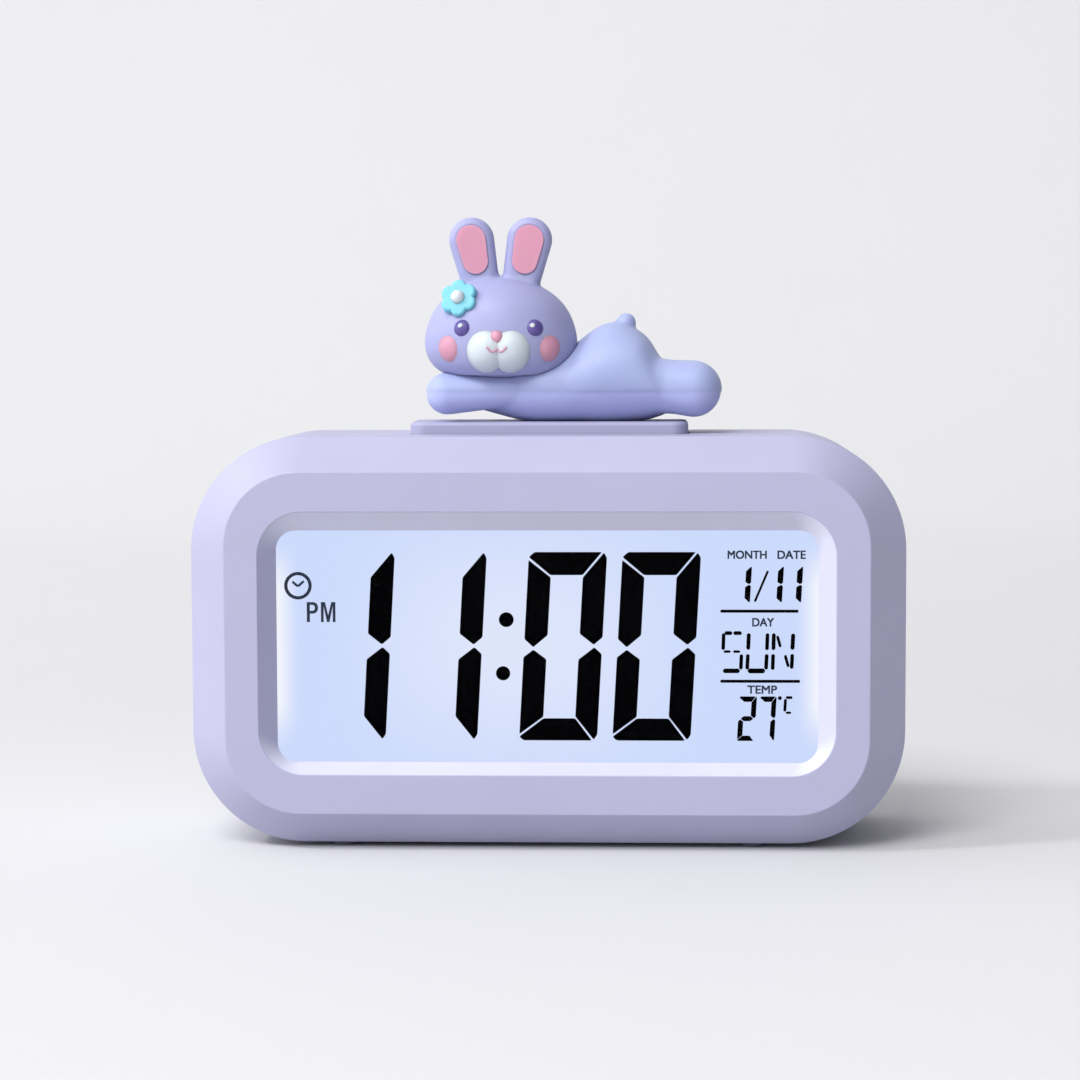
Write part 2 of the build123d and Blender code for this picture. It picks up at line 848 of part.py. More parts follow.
def make_contact_strip():
    half = contact_strip_width / 2
    return block(both_sides(contact_strip_length / 2), (glass_mid_y, board_front_y),
                 (contact_strip_z - half, contact_strip_z + half))


def make_display_screws():
    length = display_screw_reach + holder_back + board_thickness
    return group([screw_along_y(x, z, board_rear_y, display_screw_head_height, display_screw_head_radius,
                                display_screw_radius, length) for x, z in ear_places])


# Main board

def make_main_board():
    board = block(both_sides(board_half_width), (board_front_y, board_rear_y), (board_bottom, board_top))
    for x, z in ear_places:
        hole = disc(display_screw_radius + seat_clearance, x, z)
        board -= along_y(hole, board_front_y - cut_overrun, board_rear_y + cut_overrun)
    return board


def board_place(shares):
    """Point on the main board from shares of its half sizes."""
    middle = (board_bottom + board_top) / 2
    return shares[0] * board_half_width, middle + shares[1] * (board_top - board_bottom) / 2


def make_controller_blob():
    x, z = board_place(controller_place_shares)
    sphere_radius = (controller_radius ** 2 + controller_height ** 2) / (2 * controller_height)
    ball = Pos(x, board_rear_y + controller_height - sphere_radius, z) * Sphere(sphere_radius)
    return ball & along_y(disc(controller_radius, x, z), board_rear_y, board_rear_y + controller_height)


def make_crystal():
    x, z = board_place(crystal_place_shares)
    can = Pos(board_rear_y + crystal_radius, z) * Circle(crystal_radius)
    return along_x(can, x - crystal_length / 2, x + crystal_length / 2)


def make_capacitor():
    x, z = board_place(capacitor_place_shares)
    return along_y(disc(capacitor_radius, x, z), board_rear_y, board_rear_y + capacitor_height)


def make_buzzer():
    x, z = board_place(buzzer_place_shares)
    can = along_y(disc(buzzer_radius, x, z), board_rear_y, board_rear_y + buzzer_height)
    hole_y = board_rear_y + buzzer_height / 2
    return can - along_y(disc(buzzer_hole_radius, x, z), hole_y, board_rear_y + buzzer_height + cut_overrun)


def make_thermistor():
    x, z = board_place(thermistor_place_shares)
    bead_y = board_rear_y + thermistor_length
    leg = along_y(disc(thermistor_radius / 2, x, z), board_rear_y, bead_y)
    return leg + Pos(x, bead_y, z) * Sphere(thermistor_radius)


# Key across the top

def make_snooze_key():
    outline = Pos(0, key_y) * RectangleRounded(key_width, key_depth, key_corner_radius)
    key = along_z(outline, key_flange_bottom, key_top)
    key = fillet(key.edges().filter_by_position(Axis.Z, key_top, key_top), key_edge_radius)
    rim = 2 * key_flange_width
    flange = Pos(0, key_y) * RectangleRounded(key_width + rim, key_depth + rim, key_corner_radius)
    key += along_z(flange, key_flange_bottom, key_flange_top)
    hollow = Pos(0, key_y) * RectangleRounded(key_width - 2 * key_wall, key_depth - 2 * key_wall,
                                              key_corner_radius - key_wall)
    key -= along_z(hollow, key_flange_bottom - cut_overrun, key_plate_z)
    for side in (-1, 1):
        place = Pos(side * key_post_x, key_y)
        key += along_z(place * Circle(key_pad_radius), dome_top, key_plate_z)
        post_end = key_board_top + key_travel + key_post_guard
        key += along_z(place * Circle(key_post_radius), post_end, dome_top)
    plunger_end = key_switch_top + key_travel + switch_spare
    key += along_z(Pos(0, key_y) * Circle(key_plunger_radius), plunger_end, key_plate_z)
    for x in figure_peg_x:
        hole = Pos(x, key_y) * Circle(figure_peg_radius + seat_clearance)
        key -= along_z(hole, key_plate_z - cut_overrun, key_top + cut_overrun)
    return key


def make_return_domes():
    """Two hollow rubber cones round the key's posts."""
    domes = []
    for side in (-1, 1):
        outer = Pos(side * key_post_x, key_y, key_board_top) * Cone(
            return_dome_foot_radius, return_dome_crown_radius, return_dome_height,
            align=(Align.CENTER, Align.CENTER, Align.MIN))
        inner = Pos(side * key_post_x, key_y, key_board_top) * Cone(
            return_dome_foot_radius - return_dome_wall, return_dome_crown_radius - return_dome_wall,
            return_dome_height, align=(Align.CENTER, Align.CENTER, Align.MIN))
        domes.append(outer - inner)
    return group(domes)


def make_key_board():
    half = key_boss_x + key_board_margin
    half_y = key_board_width_y / 2
    board = block(both_sides(half), (key_y - half_y, key_y + half_y), (key_board_bottom, key_board_top))
    for side in (-1, 1):
        hole = Pos(side * key_boss_x, key_y) * Circle(small_screw_radius + seat_clearance)
        board -= along_z(hole, key_board_bottom - cut_overrun, key_board_top + cut_overrun)
    return board


def make_key_switch():
    outline = Pos(0, key_y) * Rectangle(switch_side, switch_side)
    body = along_z(outline, key_board_top, key_board_top + switch_height)
    plunger = Pos(0, key_y) * Circle(switch_plunger_radius)
    return body + along_z(plunger, key_board_top + switch_height, key_switch_top)


def small_screw_up(x, y, head_top):
    """Small screw with its head under head_top and its shank upwards."""
    head = along_z(Pos(x, y) * Circle(small_screw_head_radius), head_top - small_screw_head_height, head_top)
    return head + along_z(Pos(x, y) * Circle(small_screw_radius), head_top, head_top + small_screw_length)


def make_key_board_screws():
    return group([small_screw_up(side * key_boss_x, key_y, key_board_bottom) for side in (-1, 1)])


def make_key_leads():
    leads = []
    for side in (-1, 1):
        x = side * key_lead_spacing / 2
        level = key_board_bottom - key_lead_drop
        points = [(x, key_y, key_board_bottom), (x, key_y, level), (x, board_rear_y, level)]
        leads.append(wire(points, key_lead_bend_radius))
    return group(leads)


# Control panel

def make_button(x):
    head = along_y(disc(button_radius, x, panel_z), panel_inner_y - seat_clearance,
                   panel_floor_y + button_proud)
    face_y = panel_floor_y + button_proud
    head = fillet(head.edges().filter_by_position(Axis.Y, face_y, face_y), button_edge_radius)
    head += along_y(disc(button_radius + button_flange_width, x, panel_z),
                    button_flange_y, panel_inner_y - seat_clearance)
    return head + along_y(disc(button_stem_radius, x, panel_z),
                          button_flange_y - button_stem_length, button_flange_y)


def make_alarm_slider():
    half_width = slider_width / 2
    knob = block((slider_x - slider_length / 2, slider_x + slider_length / 2),
                 (slider_flange_y, panel_floor_y + slider_proud),
                 (panel_z - half_width, panel_z + half_width))
    half_flange = slider_flange_width / 2
    knob += block((slider_x - slider_flange_length / 2, slider_x + slider_flange_length / 2),
                  (slider_flange_y, panel_inner_y - seat_clearance),
                  (panel_z - half_flange, panel_z + half_flange))
    half_hub = slider_hub_side / 2
    knob += block((slider_x - half_hub, slider_x + half_hub), (slider_hub_y, slider_flange_y),
                  (panel_z - half_hub, panel_z + half_hub))
    half_pocket = slider_lever_side / 2 + seat_clearance
    pocket_y = (slider_hub_y - cut_overrun, slider_hub_y + slider_lever_entry + seat_clearance)
    return knob - block((slider_x - half_pocket, slider_x + half_pocket), pocket_y,
                        (panel_z - half_pocket, panel_z + half_pocket))


def make_slider_lever():
    half = slider_lever_side / 2
    span_y = (slider_can_top_y - slider_lever_depth, slider_hub_y + slider_lever_entry)
    return block((slider_x - half, slider_x + half), span_y, (panel_z - half, panel_z + half))


def make_slide_switch():
    middle = slider_x + slider_travel / 2
    half_width = slider_can_width / 2
    can = block((middle - slider_can_length / 2, middle + slider_can_length / 2),
                (panel_board_rear_y, slider_can_top_y), (panel_z - half_width, panel_z + half_width))
    half_slot = slider_lever_side / 2 + running_clearance
    slot_y = (slider_can_top_y - slider_lever_depth - seat_clearance, slider_can_top_y + cut_overrun)
    return can - block((slider_x - half_slot, slider_x + slider_travel + half_slot), slot_y,
                       (panel_z - half_slot, panel_z + half_slot))


def make_panel_board():
    half = panel_boss_x + panel_board_end
    board = block(both_sides(half), (panel_board_front_y, panel_board_rear_y),
                  (panel_z - panel_board_half_height, panel_z + panel_board_half_height))
    for side in (-1, 1):
        hole = disc(small_screw_radius + seat_clearance, side * panel_boss_x, panel_z)
        board -= along_y(hole, panel_board_front_y - cut_overrun, panel_board_rear_y + cut_overrun)
    return board


def make_panel_switches():
    switches = []
    body_top_y = panel_board_rear_y + switch_height
    for x in button_places:
        body = along_y(Pos(x, panel_z) * Rectangle(switch_side, switch_side), panel_board_rear_y, body_top_y)
        plunger = disc(switch_plunger_radius, x, panel_z)
        switches.append(body + along_y(plunger, body_top_y, panel_plunger_y))
    return group(switches)


def make_panel_board_screws():
    screws = []
    head_y = panel_board_front_y - small_screw_head_height
    for side in (-1, 1):
        x = side * panel_boss_x
        head = along_y(disc(small_screw_head_radius, x, panel_z), head_y, panel_board_front_y)
        screws.append(head + along_y(disc(small_screw_radius, x, panel_z), panel_board_front_y,
                                     panel_board_front_y + small_screw_length))
    return group(screws)


def make_panel_ribbon():
    """Flat ribbon that sags between the main board and the panel board."""
    middle_y = (board_rear_y + panel_board_front_y) / 2
    upper = ThreePointArc((board_rear_y, panel_z), (middle_y, panel_z - ribbon_sag),
                          (panel_board_front_y, panel_z))
    low_z = panel_z - ribbon_thickness
    lower = ThreePointArc((board_rear_y, low_z), (middle_y, low_z - ribbon_sag),
                          (panel_board_front_y, low_z))
    ends = [Line(upper @ 0, lower @ 0), Line(upper @ 1, lower @ 1)]
    half = ribbon_width / 2
    return along_x(make_face([upper, lower] + ends), ribbon_x - half, ribbon_x + half)


# Battery bay

def cell_side(index):
    """Side on which a cell has its positive end."""
    return 1 if index % 2 else -1


def make_battery_cells():
    cells = []
    for index, level in enumerate(cell_levels):
        side = cell_side(index)
        nub_x = sorted((side * cell_end_x, side * (cell_end_x - cell_nub_length)))
        sleeve_x = sorted((side * (cell_end_x - cell_nub_length), side * (cell_end_x - cell_length)))
        sleeve = along_x(disc(cell_radius, cell_y, level), *sleeve_x)
        sleeve = fillet(sleeve.edges().filter_by(GeomType.CIRCLE), cell_edge_radius)
        cells.append(sleeve + along_x(disc(cell_nub_radius, cell_y, level), *nub_x))
    return group(cells)


def contact_plate(side, level_from, level_to):
    """Flat plate against an end wall of the bay, over one or two cells."""
    half = cell_pitch / 2 - contact_margin
    plate_x = sorted((side * bay_width / 2, side * cell_end_x))
    return block(plate_x, (contact_front_y, contact_rear_y), (level_from - half, level_to + half))


def make_battery_contacts():
    """One plate alone at each end of the chain, and a plate across each pair between them."""
    plates = []
    for side, level in lead_contacts():
        plate_x = sorted((side * bay_width / 2, side * cell_end_x))
        half_tab = contact_tab_width / 2
        tab = block(plate_x, (tab_tip_y, contact_front_y), (level - half_tab, level + half_tab))
        plates.append(contact_plate(side, level, level) + tab)
    for index in range(cell_count - 1):
        side = -cell_side(index)
        plates.append(contact_plate(side, cell_levels[index], cell_levels[index + 1]))
    return group(plates)


def biarc(start, start_way, end, end_way):
    """Two arcs that join two points and keep both directions."""
    span = end - start
    ways = start_way + end_way
    square = 2 - 2 * start_way.dot(end_way)
    along = 2 * span.dot(ways)
    reach = (-along + (along ** 2 + 4 * square * span.dot(span)) ** 0.5) / (2 * square)
    first = start + start_way * reach
    last = end - end_way * reach
    return [TangentArc(start, (first + last) / 2, tangent=start_way),
            TangentArc((first + last) / 2, end, tangent=last - first)]


def spring_point(turn):
    """Point and direction of the cone-shaped spring, set along X from its wide end."""
    share = turn / cell_spring_turns
    narrowing = cell_spring_base_radius - cell_spring_tip_radius
    radius = cell_spring_base_radius - narrowing * share
    rise = cell_spring_length - 2 * cell_spring_wire_radius - 2 * seat_clearance
    angle = 2 * pi * turn
    slope = rise / (2 * pi * cell_spring_turns)
    drift = -narrowing / (2 * pi * cell_spring_turns)
    point = Vector(rise * share, radius * cos(angle), radius * sin(angle))
    way = Vector(slope, drift * cos(angle) - radius * sin(angle), drift * sin(angle) + radius * cos(angle))
    return point, way.normalized()


def spring_solid():
    """Cone-shaped coil of six-sided wire with its wide end at the origin."""
    quarter_turns = 4 * cell_spring_turns
    stations = [spring_point(i / 4) for i in range(quarter_turns + 1)]
    arcs = []
    for (start, start_way), (end, end_way) in zip(stations, stations[1:]):
        arcs += biarc(start, start_way, end, end_way)
    path = Wire(arcs)
    section = Plane(origin=stations[0][0], z_dir=stations[0][1])
    return sweep(section * RegularPolygon(cell_spring_wire_radius, 6), path=path)


def spring_gap():
    """Least room between neighbouring turns of the spring."""
    steps = 48
    rings = [spring_point(i / steps)[0] for i in range(steps * cell_spring_turns + 1)]
    gaps = [(rings[i + steps] - rings[i]).length for i in range(len(rings) - steps)]
    return min(gaps) - 2 * cell_spring_wire_radius


def make_battery_springs():
    coil = spring_solid()
    lift = cell_spring_wire_radius + seat_clearance
    springs = []
    for index, level in enumerate(cell_levels):
        side = -cell_side(index)
        turn = 180 if side > 0 else 0
        springs.append(Pos(side * (cell_end_x - lift), cell_y, level) * Rot(0, 0, turn) * coil)
    return group(springs)


def make_battery_leads():
    leads = []
    for side, level in lead_contacts():
        x = side * (bay_width / 2 - contact_thickness / 2)
        out_x = x + side * lead_step
        turn_y = tab_tip_y - lead_run
        far_y = board_rear_y + lead_run
        leads.append(wire([(x, tab_tip_y, level), (x, turn_y, level), (out_x, far_y, level),
                           (out_x, board_rear_y, level)], lead_bend_radius))
    return group(leads)


def make_battery_door():
    half_width = door_width / 2
    plate = block(both_sides(half_width), (door_inner_y, rear_y), (door_axis_z, door_top))
    corners = plate.edges().filter_by(Axis.Y).group_by(Axis.Z)[-1]
    plate = fillet(corners, door_corner_radius)
    plate += along_x(disc(door_thickness / 2, door_axis_y, door_axis_z), -half_width, half_width)
    finger = rounded(door_finger_width, 2 * door_finger_height, door_finger_radius, 0, door_top)
    plate += along_y(finger, rear_y - door_finger_thickness, rear_y)
    hook_y = door_inner_y - door_hook_depth
    for side in (-1, 1):
        middle = side * door_hook_x
        hook_x = (middle - door_hook_width / 2, middle + door_hook_width / 2)
        arm_z = (door_axis_z, door_axis_z + door_hook_thickness)
        plate += block(hook_x, (hook_y, door_inner_y), arm_z)
        plate += block(hook_x, (hook_y, hook_y + door_hook_thickness),
                       (door_axis_z - door_hook_drop, door_axis_z + door_hook_thickness))
    for i in range(door_rib_count):
        level = door_top - door_overlap - (i + 1) * door_rib_pitch
        groove_z = (level - door_rib_width / 2, level + door_rib_width / 2)
        groove_y = (rear_y - door_rib_depth, rear_y + cut_overrun)
        plate -= block(both_sides(door_rib_length / 2), groove_y, groove_z)
    return plate


# Figure

def torso_section(x_share, under_share, back_share, depth_share):
    """Upright oval across the torso."""
    under = key_top + under_share * figure_back_height
    back = key_top + back_share * figure_back_height
    place = Plane(origin=(-figure_left + x_share * figure_length, figure_y, (under + back) / 2),
                  x_dir=(0, 1, 0), z_dir=(1, 0, 0))
    return (place * Ellipse(depth_share * figure_depth, (back - under) / 2)).face()


def leg(foot, foot_radius, root_radius, length, turn):
    """Round-ended leg with a level top, thinner at its root. A turn about Z points it at the body."""
    slope = 90 - degrees(acos((foot_radius - root_radius) / length))
    reach = (sin(radians(slope)), cos(radians(slope)))
    outline = [
        CenterArc((0, 0), foot_radius, 90 - slope, 90 + slope),
        Line((foot_radius * reach[0], foot_radius * reach[1]),
             (length + root_radius * reach[0], root_radius * reach[1])),
        CenterArc((length, 0), root_radius, 0, 90 - slope),
        Line((-foot_radius, 0), (length + root_radius, 0)),
    ]
    return Pos(*foot) * Rot(0, 0, turn) * Rot(0, -slope, 0) * revolve(make_face(outline), Axis.X)


def make_figure_body(head):
    body = loft([torso_section(*shares) for shares in torso_shares])
    fore_x = -figure_left + foreleg_radius
    fore_z = key_top + foreleg_lift + foreleg_radius
    hind_x = figure_length - figure_left - hindleg_radius
    hind_z = key_top + hindleg_lift + hindleg_radius
    for side in (-1, 1):
        fore_y = figure_y + side * foreleg_spread
        hind_y = figure_y + side * hindleg_spread
        body += leg((fore_x, fore_y, fore_z), foreleg_radius, foreleg_root_radius, foreleg_length, 0)
        body += leg((hind_x, hind_y, hind_z), hindleg_radius, hindleg_root_radius, hindleg_length, 180)
    tail_x = -figure_left + tail_place_share * figure_length
    body += Pos(tail_x, figure_y, key_top + figure_back_height) * Sphere(tail_radius)
    under = (key_top - figure_back_height, key_top)
    body -= block(both_sides(figure_length), (figure_y - figure_depth, figure_y + figure_depth), under)
    body -= head
    peg_bottom = key_plate_z + figure_peg_shortfall
    for x in figure_peg_x:
        peg = Pos(x, figure_y) * Circle(figure_peg_radius)
        body += along_z(peg, peg_bottom, key_top + figure_peg_radius)
        pilot = Pos(x, figure_y) * Circle(small_screw_radius + seat_clearance)
        body -= along_z(pilot, peg_bottom - cut_overrun, key_plate_z + small_screw_length + seat_clearance)
    return body


def make_figure_screws():
    return group([small_screw_up(x, figure_y, key_plate_z) for x in figure_peg_x])


def head_section(height_share, width_share):
    """Level oval across the head."""
    place = Pos(head_x, head_y, head_z + height_share * head_height)
    return (place * Ellipse(width_share * head_width / 2, width_share * head_depth / 2)).face()


def bare_head():
    """Domed head without ears."""
    return loft([head_section(*shares) for shares in head_shares])


def ear_outline(side, margin, base_height):
    """Tapered outline with round ends, drawn in by a margin."""
    rise = (base_height - ear_base_height) / (ear_tip_height - ear_base_height - ear_tip_radius)
    spread = ear_base_spread + (ear_tip_spread - ear_base_spread) * rise
    radius = ear_base_radius + (ear_tip_radius - ear_base_radius) * rise
    base = disc(radius - margin, head_x + side * spread, head_z + base_height)
    tip = disc(ear_tip_radius - margin, head_x + side * ear_tip_spread,
               head_z + ear_tip_height - ear_tip_radius)
    return make_hull(base.edges() + tip.edges())


def ear_front_y():
    return head_y - ear_thickness / 2


def make_figure_head():
    head = bare_head()
    for side in (-1, 1):
        ear = along_y(ear_outline(side, 0, ear_base_height), ear_front_y(), ear_front_y() + ear_thickness)
        rims = ear.faces().sort_by(Axis.Y)
        ear = fillet(rims[0].edges() + rims[-1].edges(), ear_edge_radius)
        pocket_y = ear_front_y() + ear_lining_thickness - ear_lining_proud
        ear -= along_y(ear_outline(side, ear_lining_margin, ear_lining_base_height),
                       ear_front_y() - cut_overrun, pocket_y)
        head += ear
    return head


def make_ear_linings(head):
    linings = []
    start = ear_front_y() - ear_lining_proud
    for side in (-1, 1):
        outline = ear_outline(side, ear_lining_margin + seat_clearance, ear_lining_base_height)
        linings.append(along_y(outline, start, start + ear_lining_thickness) - head)
    return group(linings)


def head_surface(head, x, height_share):
    """Foremost point of the head at a place across and up the face, with the way out of it."""
    level = head_z + height_share * head_height
    sight = Axis((head_x + x, head_y - head_depth, level), (0, 1, 0))
    hits = head.find_intersection_points(sight)
    return min(hits, key=lambda hit: hit[0].Y)


def face_bead(head, x, height_share, radius, proud):
    """Ball cap on the face, with its rim radius and how far it stands out."""
    point, way = head_surface(head, x, height_share)
    outward = way if way.Y < 0 else -way
    ball_radius = (radius ** 2 + proud ** 2) / (2 * proud)
    middle = point - outward * (ball_radius - proud)
    return Pos(*middle) * Sphere(ball_radius) - head


def make_muzzle(head):
    pads = [face_bead(head, side * muzzle_spread, muzzle_height_share, muzzle_radius, muzzle_proud)
            for side in (-1, 1)]
    return pads[0] + pads[1]


def make_eyes(head):
    return group([face_bead(head, side * eye_spread, eye_height_share, eye_radius, eye_proud)
                  for side in (-1, 1)])


def make_cheeks(head):
    return group([face_bead(head, side * cheek_spread, cheek_height_share, cheek_radius, cheek_proud)
                  for side in (-1, 1)])


def make_nose(head, muzzle):
    return face_bead(head + muzzle, 0, nose_height_share, nose_radius, nose_proud)


def flower_plane(head):
    """Plane on the brow, turned half way from the head's surface to the front."""
    point, way = head_surface(head, flower_spread, flower_height_share)
    outward = way if way.Y < 0 else -way
    return Plane(origin=point, z_dir=outward.normalized() + Vector(0, -1, 0))


def make_flower_petals(head, full_head):
    plane = flower_plane(head)
    petals = Sketch()
    for i in range(petal_count):
        angle = 2 * pi * i / petal_count
        petals += Pos(petal_ring_radius * cos(angle), petal_ring_radius * sin(angle)) * Circle(petal_radius)
    petals += Circle(petal_ring_radius)
    flower = extrude(plane.offset(flower_stand - petal_thickness) * petals, amount=2 * petal_thickness)
    top = flower.faces().sort_by(Axis(plane.origin, plane.z_dir))[-1]
    flower = fillet(top.edges(), petal_edge_radius)
    return flower - full_head


def make_flower_middle(head, petals):
    plane = flower_plane(head).offset(flower_stand + petal_thickness)
    return Pos(*plane.origin) * Sphere(flower_middle_radius) - petals


def make_parts():
    """Every piece of the clock under its name."""
    dome = bare_head()
    head = make_figure_head()
    muzzle = make_muzzle(dome)
    petals = make_flower_petals(dome, head)
    pieces = {
        "front_shell": make_front_shell(),
        "rear_shell": make_rear_shell(),
        "rubber_feet": make_feet(),
        "case_screws": make_case_screws(),
        "display_lens": make_display_lens(),
        "lens_gasket": make_lens_gasket(),
        "front_polariser": make_polariser(gasket_rear_y),
        "lcd_glass": make_lcd_glass(),
        "rear_polariser": make_polariser(glass_rear_y),
        "diffuser_film": make_diffuser_film(),
        "light_guide": make_light_guide(),
        "reflector_film": make_reflector_film(),
        "light_strips": make_light_strips(),
        "display_holder": make_display_holder(),
        "contact_strip": make_contact_strip(),
        "display_screws": make_display_screws(),
        "main_board": make_main_board(),
        "controller_blob": make_controller_blob(),
        "crystal": make_crystal(),
        "capacitor": make_capacitor(),
        "buzzer": make_buzzer(),
        "thermistor": make_thermistor(),
        "snooze_key": make_snooze_key(),
        "return_domes": make_return_domes(),
        "key_board": make_key_board(),
        "key_switch": make_key_switch(),
        "key_board_screws": make_key_board_screws(),
        "key_leads": make_key_leads(),
        "alarm_slider": make_alarm_slider(),
        "slider_lever": make_slider_lever(),
        "slide_switch": make_slide_switch(),
        "panel_board": make_panel_board(),
        "panel_switches": make_panel_switches(),
        "panel_board_screws": make_panel_board_screws(),
        "panel_ribbon": make_panel_ribbon(),
        "battery_cells": make_battery_cells(),
        "battery_contacts": make_battery_contacts(),
        "battery_springs": make_battery_springs(),
        "battery_leads": make_battery_leads(),
        "battery_door": make_battery_door(),
        "figure_body": make_figure_body(head),
        "figure_head": head,
        "figure_screws": make_figure_screws(),
        "ear_linings": make_ear_linings(head),
        "muzzle": muzzle,
        "eyes": make_eyes(dome),
        "cheeks": make_cheeks(dome),
        "nose": make_nose(dome, muzzle),
        "flower_petals": petals,
        "flower_middle": make_flower_middle(dome, petals),
    }
    for name, x in zip(button_names, button_places):
        pieces[name] = make_button(x)
    return pieces


def main():
    os.makedirs("parts", exist_ok=True)
    for name, piece in make_parts().items():
        export_step(piece, os.path.join("parts", name + ".step"))
    print("least gap between turns of the battery springs:", round(spring_gap(), 2))


if __name__ == "__main__":
    main()
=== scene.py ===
import json
import math

import bmesh
import bpy
import numpy
from bpy.props import FloatProperty, FloatVectorProperty, IntProperty, PointerProperty
from bpy.types import Operator, Panel, PropertyGroup
from mathutils import Matrix, Vector


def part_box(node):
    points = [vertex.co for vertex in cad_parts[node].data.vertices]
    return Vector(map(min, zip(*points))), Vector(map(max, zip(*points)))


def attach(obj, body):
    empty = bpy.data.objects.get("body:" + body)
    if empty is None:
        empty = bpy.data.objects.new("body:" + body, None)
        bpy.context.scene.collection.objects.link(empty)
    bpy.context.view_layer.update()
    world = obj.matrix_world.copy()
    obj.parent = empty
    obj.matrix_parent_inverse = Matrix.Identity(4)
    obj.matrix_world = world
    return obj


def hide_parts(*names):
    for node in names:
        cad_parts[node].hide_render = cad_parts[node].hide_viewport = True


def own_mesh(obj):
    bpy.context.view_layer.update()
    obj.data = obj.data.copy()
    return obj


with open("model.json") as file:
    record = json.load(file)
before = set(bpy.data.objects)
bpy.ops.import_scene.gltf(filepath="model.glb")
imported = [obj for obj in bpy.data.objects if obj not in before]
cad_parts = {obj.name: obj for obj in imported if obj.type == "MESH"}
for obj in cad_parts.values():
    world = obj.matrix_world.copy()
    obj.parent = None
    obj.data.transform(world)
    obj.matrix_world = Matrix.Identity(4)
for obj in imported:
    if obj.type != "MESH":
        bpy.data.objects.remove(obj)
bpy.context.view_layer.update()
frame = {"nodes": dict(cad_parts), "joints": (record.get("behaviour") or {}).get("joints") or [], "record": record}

# A lit digital bedside clock with a lying rabbit figure on its top key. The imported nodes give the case,
# the controls and the works. This file adds their finishes, the display's segments and legends, the
# softened figure, the moulded marks on the back, the cells' sleeves, and the studio stage.

bl_info = {
    "name": "Bedside Clock",
    "version": (1, 0, 0),
    "blender": (4, 5, 0),
    "location": "View3D > Sidebar > Clock",
    "description": "Dresses the packed bedside clock with its finishes, display, figure and stage",
    "category": "Object",
}

MM = 0.001
NODES = frame["nodes"]
SLOTS = {part["node"]: part["material_slot"] for part in frame["record"]["subparts"]}
FRONT = Matrix.Rotation(math.radians(90), 4, "X")
BACK = Matrix.Rotation(math.radians(180), 4, "Z") @ FRONT


# Properties

def tint(red, green, blue):
    """Linear colour of a tone given in steps of 255."""
    tones = [step / 255 for step in (red, green, blue)]
    return tuple(tone / 12.92 if tone < 0.04045 else ((tone + 0.055) / 1.055) ** 2.4 for tone in tones)


def colour(label, about, default):
    return FloatVectorProperty(name=label, description=about, subtype="COLOR", size=3, min=0.0, max=1.0,
                               default=default)


def length(label, about, millimetres):
    return FloatProperty(name=label, description=about, unit="LENGTH", subtype="DISTANCE", precision=5,
                         default=millimetres * MM)


def angle(label, about, degrees):
    return FloatProperty(name=label, description=about, unit="ROTATION", subtype="ANGLE",
                         default=math.radians(degrees))


def strength(label, about, default):
    return FloatProperty(name=label, description=about, min=0.0, default=default)


def power(label, about, watts):
    return FloatProperty(name=label, description=about, unit="POWER", min=0.0, default=watts)


class CaseLook(PropertyGroup):
    """Finish of the case, its key and its controls."""
    shell: colour("Shell", "Lavender of the case", tint(168, 167, 195))
    # Painted shade: the top key is a darker copy of the shell's lavender, for the shade its front lies in under
    # the figure.
    key: colour("Top key", "Deeper lavender of the top key", tint(157, 157, 185))
    control: colour("Controls", "Paler lavender of the rear buttons and slider", tint(183, 182, 208))
    # Painted light: the display's light on the bevel round the window, painted into the shell as a glow.
    painted_glow: colour("Glow", "Light of the display on the bevel round it", (0.96, 0.98, 0.93))
    # Grey of the rubber, set darker as painted shade for the shade under the case.
    rubber: colour("Feet", "Grey of the rubber feet", tint(92, 91, 108))
    grain: length("Grain", "Size of the moulded grain", 0.35)
    grain_depth: length("Grain depth", "Depth of the moulded grain", 0.006)
    mark_height: length("Mark height", "Height of the moulded words on the back", 1.9)
    mark_relief: length("Mark relief", "How far the moulded words stand out", 0.2)


class DisplayLook(PropertyGroup):
    """Light and segments of the display."""
    field: colour("Field", "Blue of the lit field", tint(205, 219, 253))
    middle: colour("Middle", "Paler tone in the middle of the field", tint(224, 231, 252))
    ends: colour("Ends", "White at the lamps beside the field", tint(246, 248, 254))
    segment: colour("Segments", "Black of the segments", tint(1, 1, 2))
    legend: colour("Legends", "Slate of the printed legends", tint(50, 58, 74))
    digit_height: length("Digit height", "Height of the large digits", 35.75)
    digit_width: length("Digit width", "Width of the large digits", 14.75)
    digit_base: length("Digit base", "Height of the large digits' base above the table", 20.55)
    lean: angle("Lean", "Lean of the digits", 3.2)
    layer: length("Layer", "Thickness of the segments' layer", 0.05)


